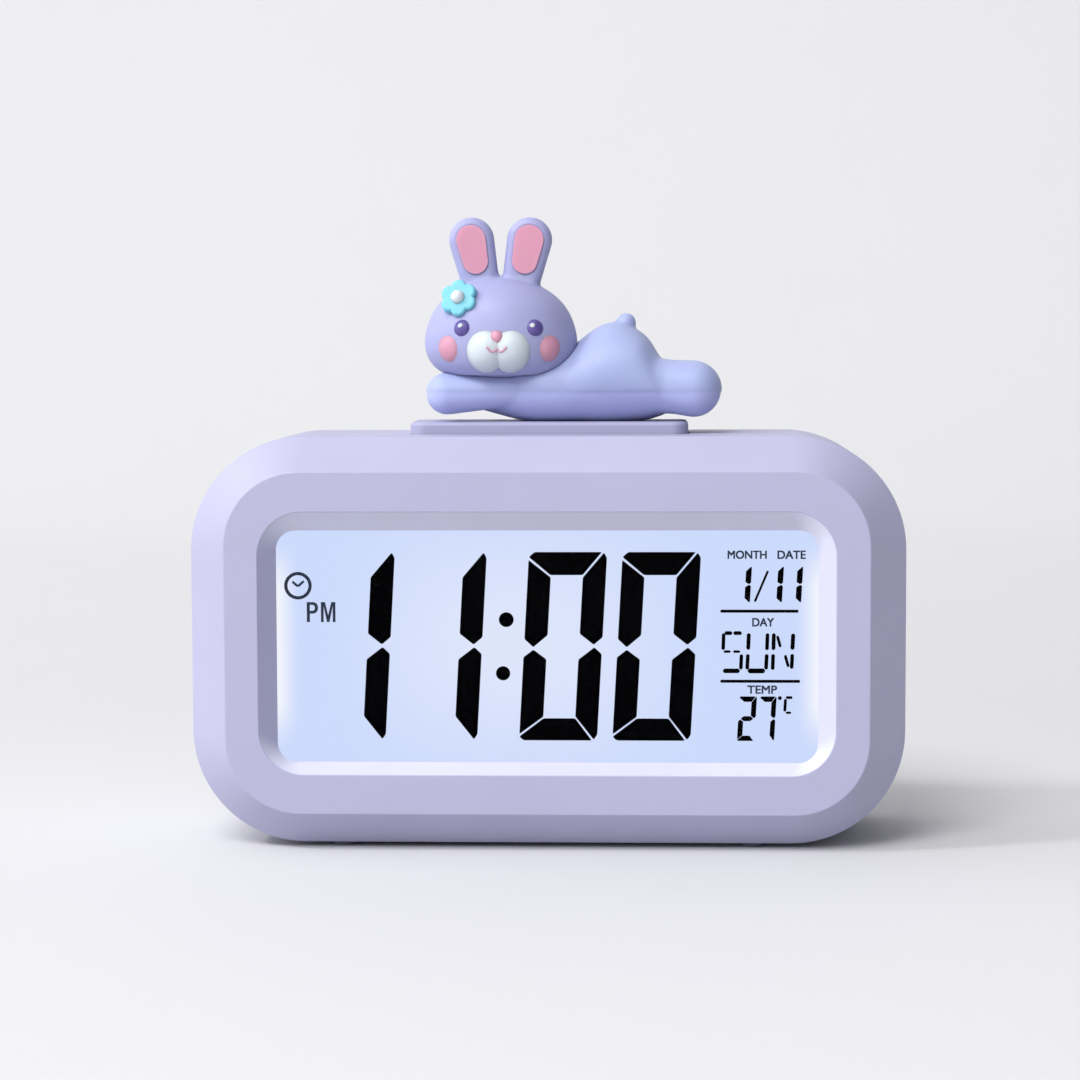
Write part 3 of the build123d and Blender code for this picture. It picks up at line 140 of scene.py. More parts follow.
class FigureLook(PropertyGroup):
    """Vinyl of the figure."""
    body: colour("Body", "Lavender of the body", tint(156, 166, 206))
    # Painted light: the body below the seam is set lighter, for light thrown up from the floor and the top key.
    painted_bounce_belly: colour("Belly", "Lavender of the body's lower mould half", tint(171, 178, 221))
    head: colour("Head", "Lavender of the head and ears", tint(155, 157, 198))
    pink: colour("Pink", "Pink of the ears, cheeks and nose", tint(207, 144, 167))
    cream: colour("Cream", "Off-white of the muzzle and the flower's middle", tint(199, 207, 214))
    eye: colour("Eyes", "Violet of the eyes", tint(90, 76, 145))
    petal: colour("Petals", "Blue of the flower", tint(110, 186, 204))
    cell: length("Cell", "Cell size of the softened meshes", 0.42)
    passes: IntProperty(name="Passes", description="Smoothing passes of the softened meshes", default=7)
    fill_passes: IntProperty(name="Fill passes", description="Passes that fill the body's creases",
                             default=120)
    haunch: length("Haunch", "Place of the haunch to the right of the middle", 18.0)
    rump: length("Rump", "How much fuller the rump's rear is than the packed body", 0.55)
    swell: length("Swell", "How far the softened meshes are drawn out again", 0.06)
    seam_height: length("Seam height", "Height of the mould's parting step above the table", 86.2)
    seam_step: length("Seam step", "Step at the mould's parting", 0.16)


class StageLook(PropertyGroup):
    """Floor, light and camera."""
    floor: colour("Floor", "Pale floor", tint(206, 206, 208))
    wall: colour("Backdrop", "Pale backdrop", tint(226, 226, 227))
    key_power: power("Key light", "Light from the upper left", 6.4)
    fill_power: power("Fill light", "Large soft light from above the camera", 26.0)
    sky_left: strength("Sky at the left", "Strength of the light all round, at the left", 1.48)
    sky_right: strength("Sky at the right", "Strength of the light all round, at the right", 0.06)
    sky_seen: strength("Sky seen", "Strength of the pale sky beyond the floor's edge", 0.82)
    lens: FloatProperty(name="Lens", description="Focal length of the camera", unit="CAMERA", default=95.12)
    camera_x: length("Camera across", "Camera's place to the right of the middle", 21.4)
    camera_y: length("Camera distance", "Camera's place in front of the middle", 552.0)
    camera_z: length("Camera height", "Camera's height above the table", 98.5)
    camera_turn: angle("Camera turn", "Turn of the camera to the left", 2.41)
    camera_tilt: angle("Camera tilt", "Tilt of the camera below level", 4.26)
    camera_roll: angle("Camera roll", "Roll of the camera", 0.184)


LOOKS = {"clock_case": CaseLook, "clock_display": DisplayLook, "clock_figure": FigureLook,
         "clock_stage": StageLook}


# Finishes

# How far the painted glow on the bevel round the display reaches from the window's middle, and how deep that
# painted light fades in
BEVEL_REACH_X = (56 * MM, 57 * MM)
BEVEL_REACH_Z = (26.5 * MM, 27.5 * MM)
BEVEL_FADE = (0.03 * MM, 0.2 * MM)
# Sides of the bevel on which the display's light is painted as a glow: axis, the share of the side's normal along
# it, and strength
BEVEL_PAINTED_GLOWS = (("X", -0.76, 0.25), ("Z", 0.88, 0.29), ("Z", -0.71, 0.15))
SHELL_GLOSS = (0.42, 0.54)
# Lit field: place of its paler middle, how far that reaches, and where the white ends start and end
FIELD_MIDDLE = -6 * MM
FIELD_MIDDLE_X = (4 * MM, 42 * MM)
FIELD_MIDDLE_Z = (2 * MM, 30 * MM)
FIELD_END_X = (46.5 * MM, 52 * MM)
FIELD_END_Z = (10 * MM, 21 * MM)
FIELD_DRIFT = 30 * MM
FIELD_LIGHT = 1.05
# Part of a noise pattern's range that the finishes use
NOISE_RANGE = (0.3, 0.7)


class Finish:
    """A material with the few nodes that the finishes share. Sizes are in metres."""

    def __init__(self, name, tone, roughness, **constants):
        self.material = bpy.data.materials.new(name)
        self.material.use_nodes = True
        self.tree = self.material.node_tree
        self.shader = self.tree.nodes["Principled BSDF"]
        self.tone = tone
        self.set("Base Color", (*tone, 1.0))
        self.set("Roughness", roughness)
        for socket, value in constants.items():
            self.set(socket.replace("_", " "), value)
        self.place = self.node("TexCoord").outputs["Object"]

    def node(self, kind):
        """New node of a kind."""
        return self.tree.nodes.new("ShaderNode" + kind)

    def set(self, socket, value):
        """Sets a socket of the shader that is the same all over."""
        self.shader.inputs[socket].default_value = value

    def link(self, output, entry):
        self.tree.links.new(output, entry)

    def feed(self, output, socket):
        """Links an output to a socket of the shader."""
        self.link(output, self.shader.inputs[socket])

    def noise(self, size, detail=2.0, stretch=(1, 1, 1)):
        """Cloudy pattern whose spots are about one size across."""
        mapping = self.node("Mapping")
        mapping.inputs["Scale"].default_value = stretch
        self.link(self.place, mapping.inputs["Vector"])
        pattern = self.node("TexNoise")
        pattern.inputs["Scale"].default_value = 1 / size
        pattern.inputs["Detail"].default_value = detail
        self.link(mapping.outputs[0], pattern.inputs["Vector"])
        return pattern.outputs[0]

    def span(self, value, source, target, smooth=False):
        """Value moved from one span to another."""
        ranger = self.node("MapRange")
        ranger.interpolation_type = "SMOOTHSTEP" if smooth else "LINEAR"
        for entry, number in zip(("From Min", "From Max", "To Min", "To Max"), (*source, *target)):
            ranger.inputs[entry].default_value = number
        self.link(value, ranger.inputs["Value"])
        return ranger.outputs[0]

    def reckon(self, operation, first, second):
        """Result of a sum on two values, of which the second may be a plain number."""
        node = self.node("Math")
        node.operation = operation
        self.link(first, node.inputs[0])
        if isinstance(second, (int, float)):
            node.inputs[1].default_value = second
        else:
            self.link(second, node.inputs[1])
        return node.outputs[0]

    def mix(self, factor, first, second):
        """Colour between two others, each a tone or an output."""
        node = self.node("Mix")
        node.data_type = "RGBA"
        self.link(factor, node.inputs[0])
        for entry, value in ((node.inputs[6], first), (node.inputs[7], second)):
            if isinstance(value, tuple):
                entry.default_value = (*value, 1.0)
            else:
                self.link(value, entry)
        return node.outputs[2]

    def axes(self):
        """Places on the surface, split into X, Y and Z."""
        split = self.node("SeparateXYZ")
        self.link(self.place, split.inputs[0])
        return split.outputs

    def away(self, value, middle):
        """Distance of a value from a middle one."""
        return self.reckon("ABSOLUTE", self.reckon("SUBTRACT", value, middle), 0.0)

    def shaded(self, change):
        """Tone made lighter or darker by a share."""
        return tuple(min(1.0, max(0.0, part * (1 + change))) for part in self.tone)

    def mottle(self, size, change):
        """Slow drift of the tone over the surface."""
        drift = self.span(self.noise(size), NOISE_RANGE, (0.0, 1.0))
        mottled = self.mix(drift, self.shaded(-change), self.shaded(change))
        self.feed(mottled, "Base Color")
        return mottled

    def polish(self, size, low, high):
        """Roughness that drifts between two values."""
        self.feed(self.span(self.noise(size, 3.0), NOISE_RANGE, (low, high)), "Roughness")

    def relief(self, height, depth):
        """Bumps of a given depth."""
        bump = self.node("Bump")
        bump.inputs["Strength"].default_value = 1.0
        bump.inputs["Distance"].default_value = depth
        self.link(height, bump.inputs["Height"])
        self.feed(bump.outputs[0], "Normal")


def moulded(name, tone, grain, depth, gloss, **constants):
    """Recipe of matt injection-moulded plastic with a fine even grain."""
    made = Finish(name, tone, gloss[0], **constants)
    made.mottle(22 * MM, 0.02)
    made.polish(5 * MM, *gloss)
    made.relief(made.noise(grain, 3.0), depth)
    return made


def moulded_plastic(name, tone, grain, depth, gloss=SHELL_GLOSS):
    """Plastic of the controls, holders and sleeves."""
    return moulded(name, tone, grain, depth, gloss).material


def shell_plastic(name, tone, grain, depth, painted_glow):
    """Plastic of the shells. Light from the display is painted on the bevel round the window, as a glow of the
    plastic.
    """
    made = moulded(name, tone, grain, depth, SHELL_GLOSS, Emission_Color=(*painted_glow, 1.0))
    low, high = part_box("display_lens")
    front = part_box("front_shell")[0].y
    axes = made.axes()
    across = made.away(axes["X"], (low.x + high.x) / 2)
    upright = made.away(axes["Z"], (low.z + high.z) / 2)
    inside = made.reckon("MULTIPLY", made.span(across, BEVEL_REACH_X, (1.0, 0.0)),
                         made.span(upright, BEVEL_REACH_Z, (1.0, 0.0)))
    sunk = made.span(axes["Y"], [front + depth_in for depth_in in BEVEL_FADE], (0.0, 1.0))
    facing = made.node("SeparateXYZ")
    made.link(made.node("NewGeometry").outputs["Normal"], facing.inputs[0])
    lit = [made.span(facing.outputs[axis], (0.0, share), (0.0, light)) for axis, share, light in BEVEL_PAINTED_GLOWS]
    sides = made.reckon("ADD", made.reckon("ADD", lit[0], lit[1]), lit[2])
    # Painted light: the bevel's sides glow as if lit by the display.
    made.feed(made.reckon("MULTIPLY", made.reckon("MULTIPLY", inside, sunk), sides), "Emission Strength")
    return made.material


def soft_vinyl(name, tone, gloss=(0.46, 0.6), depth=0.008 * MM, lower=None):
    """Soft painted vinyl that lets a little light in. A lower tone and its level give the part below that level
    that tone, which for the body is painted bounce light.
    """
    made = Finish(name, tone, gloss[0], Subsurface_Weight=0.4, Subsurface_Scale=2.5 * MM,
                  Subsurface_Radius=(1.0, 0.8, 0.9))
    mottled = made.mottle(9 * MM, 0.025)
    if lower:
        painted_bounce_tone, level = lower
        above = made.span(made.axes()["Z"], (level - SEAM_BLEND / 2, level + SEAM_BLEND / 2), (0.0, 1.0))
        made.feed(made.mix(above, painted_bounce_tone, mottled), "Base Color")
    made.polish(3 * MM, *gloss)
    made.relief(made.noise(0.7 * MM, 4.0), depth)
    return made.material


def plain_rubber(name, tone):
    """Dull rubber with a pebbled surface."""
    made = Finish(name, tone, 0.75)
    made.mottle(3 * MM, 0.08)
    made.polish(1.5 * MM, 0.68, 0.84)
    made.relief(made.noise(0.3 * MM, 3.0), 0.02 * MM)
    return made.material


def plated_metal(name, tone, gloss=(0.2, 0.36)):
    """Plated sheet or wire with drawn streaks."""
    made = Finish(name, tone, gloss[0], Metallic=1.0)
    made.mottle(4 * MM, 0.06)
    made.polish(1.2 * MM, *gloss)
    made.relief(made.noise(0.2 * MM, 2.0, (1, 8, 8)), 0.004 * MM)
    return made.material


def clear_sheet(name, tone, cover):
    """Clear sheet of which only the gloss and a trace of tone show."""
    made = Finish(name, tone, 0.08, Alpha=cover, IOR=1.49)
    made.polish(14 * MM, 0.05, 0.11)
    made.relief(made.noise(9 * MM, 1.0), 0.003 * MM)
    return made.material


def coated_film(name, tone, gloss):
    """White or tinted film with a faint drift of tone."""
    made = Finish(name, tone, gloss)
    made.mottle(12 * MM, 0.015)
    made.polish(4 * MM, gloss - 0.05, gloss + 0.05)
    return made.material


def board_laminate(name, tone):
    """Green board laminate with its glass weave showing through."""
    made = Finish(name, tone, 0.4)
    weave = made.node("TexBrick")
    weave.inputs["Scale"].default_value = 1 / (2.5 * MM)
    weave.inputs["Mortar Size"].default_value = 0.06
    weave.inputs["Color1"].default_value = (*made.shaded(-0.1), 1.0)
    weave.inputs["Color2"].default_value = (*made.shaded(0.1), 1.0)
    weave.inputs["Mortar"].default_value = (*made.shaded(0.45), 1.0)
    made.link(made.place, weave.inputs["Vector"])
    made.feed(weave.outputs["Color"], "Base Color")
    made.polish(2 * MM, 0.32, 0.46)
    made.relief(made.noise(0.5 * MM), 0.01 * MM)
    return made.material


def printed_ink(name, tone):
    """Dense ink of the segments and legends."""
    made = Finish(name, tone, 0.6, Specular_IOR_Level=0.0)
    made.mottle(2 * MM, 0.1)
    made.polish(2 * MM, 0.52, 0.66)
    return made.material


def lit_field(name, look):
    """Field of the display: blue, paler in the middle and white beside the lamps at both ends."""
    made = Finish(name, tint(2, 2, 3), 0.5, Specular_IOR_Level=0.0, Emission_Strength=FIELD_LIGHT)
    low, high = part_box("display_lens")
    centre = (low + high) / 2
    axes = made.axes()
    upright = made.away(axes["Z"], centre.z)
    calm = made.span(made.away(axes["X"], centre.x + FIELD_MIDDLE), FIELD_MIDDLE_X, (1.0, 0.0), True)
    calm = made.reckon("MULTIPLY", calm, made.span(upright, FIELD_MIDDLE_Z, (1.0, 0.1), True))
    white = made.span(made.away(axes["X"], centre.x), FIELD_END_X, (0.0, 1.0), True)
    white = made.reckon("MULTIPLY", white, made.span(upright, FIELD_END_Z, (1.0, 0.0), True))
    drift = made.span(made.noise(FIELD_DRIFT, 1.0), NOISE_RANGE, (0.9, 1.0))
    field = made.mix(made.reckon("MULTIPLY", calm, drift), tuple(look.field), tuple(look.middle))
    made.feed(made.mix(white, field, tuple(look.ends)), "Emission Color")
    return made.material


FINISHES = {}


def finish(slot):
    """The finish of one of the record's material slots, made when it is first asked for."""
    if slot not in FINISHES:
        FINISHES[slot] = make_finish(slot)
    return FINISHES[slot]


def make_finish(slot):
    scene = bpy.context.scene
    case, figure, display = scene.clock_case, scene.clock_figure, scene.clock_display
    grain, depth = case.grain, case.grain_depth
    makers = {
        "lavender_plastic": lambda: shell_plastic(slot, tuple(case.shell), grain, depth, tuple(case.painted_glow)),
        "button_plastic": lambda: moulded_plastic(slot, tuple(case.control), grain, depth, (0.34, 0.44)),
        "grey_rubber": lambda: plain_rubber(slot, tuple(case.rubber)),
        "black_foam": lambda: plain_rubber(slot, tint(44, 44, 46)),
        "contact_rubber": lambda: plain_rubber(slot, tint(96, 96, 100)),
        "silicone": lambda: plain_rubber(slot, tint(226, 226, 228)),
        "lead_sleeve": lambda: plain_rubber(slot, tint(176, 46, 48)),
        "screw_steel": lambda: plated_metal(slot, tint(196, 196, 200)),
        "tinned_can": lambda: plated_metal(slot, tint(214, 214, 214)),
        "nickel_plate": lambda: plated_metal(slot, tint(212, 208, 200), (0.14, 0.26)),
        "clear_window": lambda: clear_sheet(slot, tint(14, 14, 18), 0.03),
        "display_glass": lambda: clear_sheet(slot, tint(190, 205, 215), 0.2),
        "clear_guide": lambda: clear_sheet(slot, tint(215, 225, 235), 0.35),
        "polariser_film": lambda: lit_field(slot, display),
        "white_film": lambda: coated_film(slot, tint(240, 243, 248), 0.45),
        "light_strip": lambda: coated_film(slot, tint(236, 238, 224), 0.5),
        "white_plastic": lambda: moulded_plastic(slot, tint(232, 232, 232), grain, depth),
        "black_plastic": lambda: moulded_plastic(slot, tint(42, 42, 44), grain, depth),
        "ribbon_sleeve": lambda: moulded_plastic(slot, tint(170, 170, 174), grain, depth),
        "black_resin": lambda: moulded_plastic(slot, tint(26, 26, 28), 2 * MM, depth, (0.12, 0.24)),
        "capacitor_sleeve": lambda: moulded_plastic(slot, tint(34, 46, 92), 2 * MM, depth, (0.16, 0.26)),
        "cell_sleeve": lambda: moulded_plastic(slot, tint(74, 78, 92), 2 * MM, depth, (0.18, 0.3)),
        "board_laminate": lambda: board_laminate(slot, tint(40, 112, 70)),
        # The body's lower half takes a lighter tone: painted bounce light.
        "lavender_vinyl": lambda: soft_vinyl(slot, tuple(figure.body),
                                             lower=(tuple(figure.painted_bounce_belly), figure.seam_height)),
        "pink_vinyl": lambda: soft_vinyl(slot, tuple(figure.pink)),
        "cream_vinyl": lambda: soft_vinyl(slot, tuple(figure.cream)),
        "violet_vinyl": lambda: soft_vinyl(slot, tuple(figure.eye), (0.34, 0.44), 0.002 * MM),
        "blue_vinyl": lambda: soft_vinyl(slot, tuple(figure.petal)),
    }
    return makers[slot]()


def dress(*names):
    """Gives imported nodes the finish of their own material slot."""
    for name in names:
        mesh = NODES[name].data
        mesh.materials.clear()
        mesh.materials.append(finish(SLOTS[name]))


# Shapes

def piece(name, mesh, body, slot, *materials):
    """Object of a mesh that rides on a body and takes a slot's finish, or materials of its own."""
    made = bpy.data.objects.new(name, mesh)
    bpy.context.scene.collection.objects.link(made)
    mesh.materials.clear()
    for material in materials or [finish(slot)]:
        mesh.materials.append(material)
    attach(made, body)
    return made


def mesh_of(name, shape):
    """Mesh of a bmesh, with its faces turned outwards."""
    bmesh.ops.recalc_face_normals(shape, faces=shape.faces)
    mesh = bpy.data.meshes.new(name)
    shape.to_mesh(mesh)
    shape.free()
    return mesh


def settled(made):
    """Puts an object's modifiers into its mesh."""
    graph = bpy.context.evaluated_depsgraph_get()
    mesh = bpy.data.meshes.new_from_object(made.evaluated_get(graph))
    made.modifiers.clear()
    made.data = mesh
    return made


def eased(points, radius, steps=4):
    """Outline with its corners rounded, each by a curve that starts one radius from the corner."""
    rounded = []
    count = len(points)
    for index, corner in enumerate(points):
        before = points[index - 1] - corner
        after = points[(index + 1) % count] - corner
        reach = min(radius, before.length / 2.2, after.length / 2.2)
        start = corner + before.normalized() * reach
        end = corner + after.normalized() * reach
        for step in range(steps + 1):
            way = step / steps
            rounded.append(start * (1 - way) ** 2 + corner * 2 * way * (1 - way) + end * way ** 2)
    return rounded


def prism(shape, outline, front, back):
    """Adds a flat piece with an outline in X and Z between two places along Y."""
    near = [shape.verts.new((point.x, front, point.y)) for point in outline]
    far = [shape.verts.new((point.x, back, point.y)) for point in outline]
    shape.faces.new(near)
    shape.faces.new(reversed(far))
    count = len(outline)
    for index in range(count):
        following = (index + 1) % count
        shape.faces.new((near[index], far[index], far[following], near[following]))


def circle(centre, radius, steps=40):
    """Round outline."""
    turns = [2 * math.pi * step / steps for step in range(steps)]
    return [centre + Vector((math.cos(turn), math.sin(turn))) * radius for turn in turns]


def stroke(start, end, width, point):
    """Outline of a bar with pointed ends."""
    way = (end - start).normalized()
    side = Vector((-way.y, way.x)) * width / 2
    return [start, start + way * point - side, end - way * point - side, end,
            end - way * point + side, start + way * point + side]


def turned(name, profile, steps=48):
    """Round mesh about the X axis. The profile gives places along the axis and radii."""
    shape = bmesh.new()
    rings = []
    for along, radius in profile:
        if radius == 0:
            rings.append([shape.verts.new((along, 0, 0))])
            continue
        turns = [2 * math.pi * step / steps for step in range(steps)]
        rings.append([shape.verts.new((along, radius * math.cos(t), radius * math.sin(t))) for t in turns])
    for first, second in zip(rings, rings[1:]):
        for step in range(steps):
            following = (step + 1) % steps
            if len(first) == 1:
                shape.faces.new((first[0], second[following], second[step]))
            elif len(second) == 1:
                shape.faces.new((first[step], first[following], second[0]))
            else:
                shape.faces.new((first[step], first[following], second[following], second[step]))
    for face in shape.faces:
        face.smooth = True
    return mesh_of(name, shape)


def word(text):
    """Mesh of a word, facing up, one unit wide, high and thick, with its lower left corner at the origin."""
    curve = bpy.data.curves.new("word", "FONT")
    curve.body = text
    curve.extrude = 0.05
    curve.resolution_u = 6
    holder = bpy.data.objects.new("word", curve)
    bpy.context.scene.collection.objects.link(holder)
    graph = bpy.context.evaluated_depsgraph_get()
    mesh = bpy.data.meshes.new_from_object(holder.evaluated_get(graph))
    bpy.data.objects.remove(holder)
    bpy.data.curves.remove(curve)
    low = Vector(min(v.co[i] for v in mesh.vertices) for i in range(3))
    high = Vector(max(v.co[i] for v in mesh.vertices) for i in range(3))
    mesh.transform(Matrix.Translation((-low.x, -low.y, -low.z)))
    mesh.transform(Matrix.Diagonal((1 / (high.x - low.x), 1 / (high.y - low.y), 1 / (high.z - low.z), 1)))
    return mesh


def set_word(shape, text, size, place, facing):
    """Adds a word of a given width, height and thickness to a shape, with its lower left corner placed."""
    mesh = word(text)
    mesh.transform(Matrix.Diagonal((*size, 1)))
    mesh.transform(Matrix.Translation(place) @ facing)
    shape.from_mesh(mesh)
    bpy.data.meshes.remove(mesh)


def fill_creases(mesh, passes, level, haunch):
    """Fills the creases across a mesh's length above a level, as a soft mould does. Its outer curves stay as
    they are, and the creases behind the haunch are filled most."""
    count = len(mesh.vertices)
    places, normals = numpy.empty(3 * count), numpy.empty(3 * count)
    mesh.vertices.foreach_get("co", places)
    mesh.vertices.foreach_get("normal", normals)
    places, normals = places.reshape(-1, 3), normals.reshape(-1, 3)
    ends = numpy.empty(2 * len(mesh.edges), dtype=numpy.int64)
    mesh.edges.foreach_get("vertices", ends)
    one, other = ends.reshape(-1, 2).T
    neighbours = numpy.bincount(ends, minlength=count)
    runs = places[other] - places[one]
    lengthwise = 1.0 - runs[:, 1] ** 2 / (runs ** 2).sum(axis=1)
    rate = numpy.interp(places[:, 0], (haunch - FILL_BLEND, haunch + FILL_BLEND), FILL_RATES)
    rate[places[:, 2] < level] = 0.0
    for _ in range(passes):
        lift = numpy.zeros(count)
        for axis in range(3):
            gap = (places[other, axis] - places[one, axis]) * lengthwise
            pull = numpy.bincount(one, gap, count) - numpy.bincount(other, gap, count)
            lift += pull / neighbours * normals[:, axis]
        places += (numpy.clip(lift, 0.0, None) * rate)[:, None] * normals
    mesh.vertices.foreach_set("co", places.ravel())
    mesh.update()


def draw_out(mesh, distance):
    """Moves each vertex of a mesh along its normal, as far as a function of its place says."""
    normals = [vertex.normal.copy() for vertex in mesh.vertices]
    for vertex, normal in zip(mesh.vertices, normals):
        vertex.co += normal * distance(vertex.co)
    mesh.update()


def softened(name, node, body, material):
    """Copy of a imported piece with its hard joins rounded, as a soft mould leaves them."""
    look = bpy.context.scene.clock_figure
    mesh = NODES[node].data.copy()
    shape = bmesh.new()
    shape.from_mesh(mesh)
    bmesh.ops.remove_doubles(shape, verts=shape.verts, dist=WELD)
    shape.to_mesh(mesh)
    shape.free()
    made = bpy.data.objects.new(name, mesh)
    bpy.context.scene.collection.objects.link(made)
    remesh = made.modifiers.new("remesh", "REMESH")
    remesh.mode = "VOXEL"
    remesh.voxel_size = look.cell
    remesh.use_smooth_shade = True
    ease = made.modifiers.new("ease", "SMOOTH")
    ease.factor = 0.5
    ease.iterations = look.passes
    settled(made)
    draw_out(made.data, lambda place: look.swell)
    made.data.materials.clear()
    made.data.materials.append(material)
    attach(made, body)
    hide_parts(node)
    return made


def travel(joint):
    """How far a sliding joint goes from rest."""
    return next(row for row in frame["joints"] if row["name"] == joint)["range_m"][1]


def surface(node, x, z):
    """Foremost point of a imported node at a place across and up."""
    found, point, normal, _ = NODES[node].ray_cast(Vector((x, -1.0, z)), Vector((0, 1, 0)))
    if not found:
        raise RuntimeError(f"{node} has no surface at {x:.4f}, {z:.4f}")
    return point, normal


# Operators

class CLOCK_OT_case(Operator):
    """Finish the two case shells, the feet and the top key"""
    bl_idname = "clock.case"
    bl_label = "Case"

    def execute(self, context):
        look = context.scene.clock_case
        dress("front_shell", "rear_shell", "rubber_feet", "snooze_key")
        # Painted shade: the key takes a darker lavender than the shell.
        shaded_key_plastic = moulded_plastic("shaded_key_plastic", tuple(look.key), look.grain, look.grain_depth)
        NODES["snooze_key"].data.materials[0] = shaded_key_plastic
        return {"FINISHED"}


class CLOCK_OT_display(Operator):
    """Finish the window and the layers of the display behind it"""
    bl_idname = "clock.display"
    bl_label = "Display"

    def execute(self, context):
        dress("display_lens", "lens_gasket", "front_polariser", "lcd_glass", "rear_polariser",
              "diffuser_film", "light_guide", "reflector_film", "light_strips", "display_holder",
              "contact_strip")
        return {"FINISHED"}


# Gap between the segments' layer and the display's front film
LAYER_GAP = 0.01 * MM


def layer_span():
    """Front and back of the segments' layer, just before the display's front film."""
    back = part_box("front_polariser")[0].y - LAYER_GAP
    return back - bpy.context.scene.clock_display.layer, back


# Outlines of a large digit's bars in millimetres: across from its left or right edge (the right one where the
# number is negative) and up from its base or down from its top (where negative) or from its middle
SEGMENTS = {
    "a": ((1.05, "top", 0.0), (0.02, "top", -0.95), (4.25, "top", -4.35), (-4.4, "top", -4.35),
          (-1.0, "top", 0.0)),
    "f": ((0.0, "top", -1.5), (4.35, "top", -4.8), (4.35, "middle", 2.15), (1.75, "middle", -0.15),
          (0.0, "middle", 1.4)),
    "b": ((-0.6, "top", -0.1), (-0.001, "top", -1.1), (-0.001, "middle", 1.75), (-1.6, "middle", 0.33),
          (-4.35, "middle", 2.4), (-4.35, "top", -4.8)),
    "d": ((0.85, "base", 0.0), (0.0, "base", 0.72), (4.4, "base", 4.2), (-4.35, "base", 4.2),
          (-1.0, "base", 0.0)),
    "e": ((0.0, "base", 1.2), (0.0, "middle", -2.05), (1.8, "middle", -0.62), (4.35, "middle", -2.45),
          (4.35, "base", 4.5)),
    "c": ((-0.62, "base", 0.15), (-0.001, "base", 1.15), (-0.001, "middle", -1.45),
          (-1.45, "middle", -0.16), (-4.35, "middle", -2.5), (-4.35, "base", 4.55)),
    "g": ((2.1, "middle", 0.0), (4.6, "middle", 2.0), (-4.6, "middle", 2.0), (-2.1, "middle", 0.0),
          (-4.6, "middle", -2.0), (4.6, "middle", -2.0)),
}
SEGMENT_EASE = 0.3 * MM
# Left edges of the four digits at mid height, and the segments that each shows
DIGITS = ((-44.45 * MM, "bc"), (-27.05 * MM, "bc"), (-4.35 * MM, "abcdef"), (13.3 * MM, "abcdef"))
COLON_DOTS = ((Vector((-7.69, 43.5)) * MM, 1.4 * MM), (Vector((-8.33, 33.3)) * MM, 1.35 * MM))


def segment(look, name, corner, width, height):
    """Outline of one bar of a digit with a given lower left corner at mid height, width and height."""
    wide, tall = look.digit_width / MM, look.digit_height / MM
    levels = {"base": 0.0, "middle": tall / 2, "top": tall}
    outline = []
    for across, level, up in SEGMENTS[name]:
        x = (across if across >= 0 else wide + across) / wide * width
        z = (levels[level] + up) / tall * height
        outline.append(corner + Vector((x + (z - height / 2) * math.tan(look.lean), z)))
    return outline


class CLOCK_OT_digits(Operator):
    """Make the four large digits and the colon between them"""
    bl_idname = "clock.digits"
    bl_label = "Large digits"

    def execute(self, context):
        look = context.scene.clock_display
        front, back = layer_span()
        ink = printed_ink("segment_ink", tuple(look.segment))
        shape = bmesh.new()
        for left, shown in DIGITS:
            corner = Vector((left, look.digit_base))
            for name in shown:
                outline = segment(look, name, corner, look.digit_width, look.digit_height)
                prism(shape, eased(outline, SEGMENT_EASE), front, back)
        for centre, radius in COLON_DOTS:
            prism(shape, circle(centre, radius), front, back)
        piece("display_digits", mesh_of("display_digits", shape), "case", "polariser_film", ink)
        return {"FINISHED"}


# Small digits: segments, lower left corner, width and height
SMALL_DIGITS = (
    ("bc", Vector((34.75, 46.75)) * MM, 3.65 * MM, 6.85 * MM),
    ("bc", Vector((40.75, 46.75)) * MM, 3.65 * MM, 6.85 * MM),
    ("bc", Vector((44.35, 46.75)) * MM, 3.65 * MM, 6.85 * MM),
    ("abged", Vector((36.05, 20.55)) * MM, 3.3 * MM, 8.45 * MM),
    ("abc", Vector((39.95, 20.55)) * MM, 3.1 * MM, 8.45 * MM),
)
SMALL_EASE = 0.12 * MM
# Length of a bar's point as a share of its width
BAR_POINT_SHARE = 0.35
# Bars of the day's letters and of the degree sign's C, in millimetres: both ends and the width
BARS = (
    (33.3, 41.03, 33.2, 37.75, 0.68), (33.4, 41.0, 34.98, 41.0, 0.72), (35.06, 41.0, 36.75, 41.0, 0.72),
    (33.25, 37.5, 34.65, 37.5, 0.48), (35.05, 37.5, 36.45, 37.5, 0.48), (36.65, 37.05, 36.52, 34.05, 0.68),
    (33.1, 33.85, 36.4, 33.85, 0.86),
    (38.02, 41.03, 37.9, 37.8, 0.75), (37.85, 37.08, 37.72, 34.05, 0.7), (41.54, 41.03, 41.42, 37.72, 0.7),
    (41.4, 37.1, 41.26, 34.05, 0.72), (37.75, 33.85, 41.15, 33.85, 0.92),
    (42.72, 41.03, 42.64, 37.73, 0.74), (42.6, 37.1, 42.5, 34.0, 0.7), (46.36, 40.98, 46.2, 37.8, 0.78),
    (46.2, 37.12, 46.06, 34.2, 0.7), (43.35, 40.55, 43.98, 38.3, 0.56), (44.82, 36.9, 45.48, 34.55, 0.56),
    (44.95, 28.8, 46.3, 28.8, 0.54), (44.95, 28.6, 44.8, 26.1, 0.56), (44.95, 25.92, 46.05, 25.92, 0.44),
)
DATE_SLASH = (Vector((39.1, 46.9)) * MM, Vector((41.6, 52.8)) * MM, 0.44 * MM)
DEGREE_DOT = (Vector((43.88, 28.7)) * MM, 0.38 * MM)
DEGREE_STEPS = 16
RULES = ((32.63 * MM, 47.37 * MM, 45.15 * MM), (32.65 * MM, 47.7 * MM, 31.88 * MM))
RULE_WIDTH = 0.56 * MM
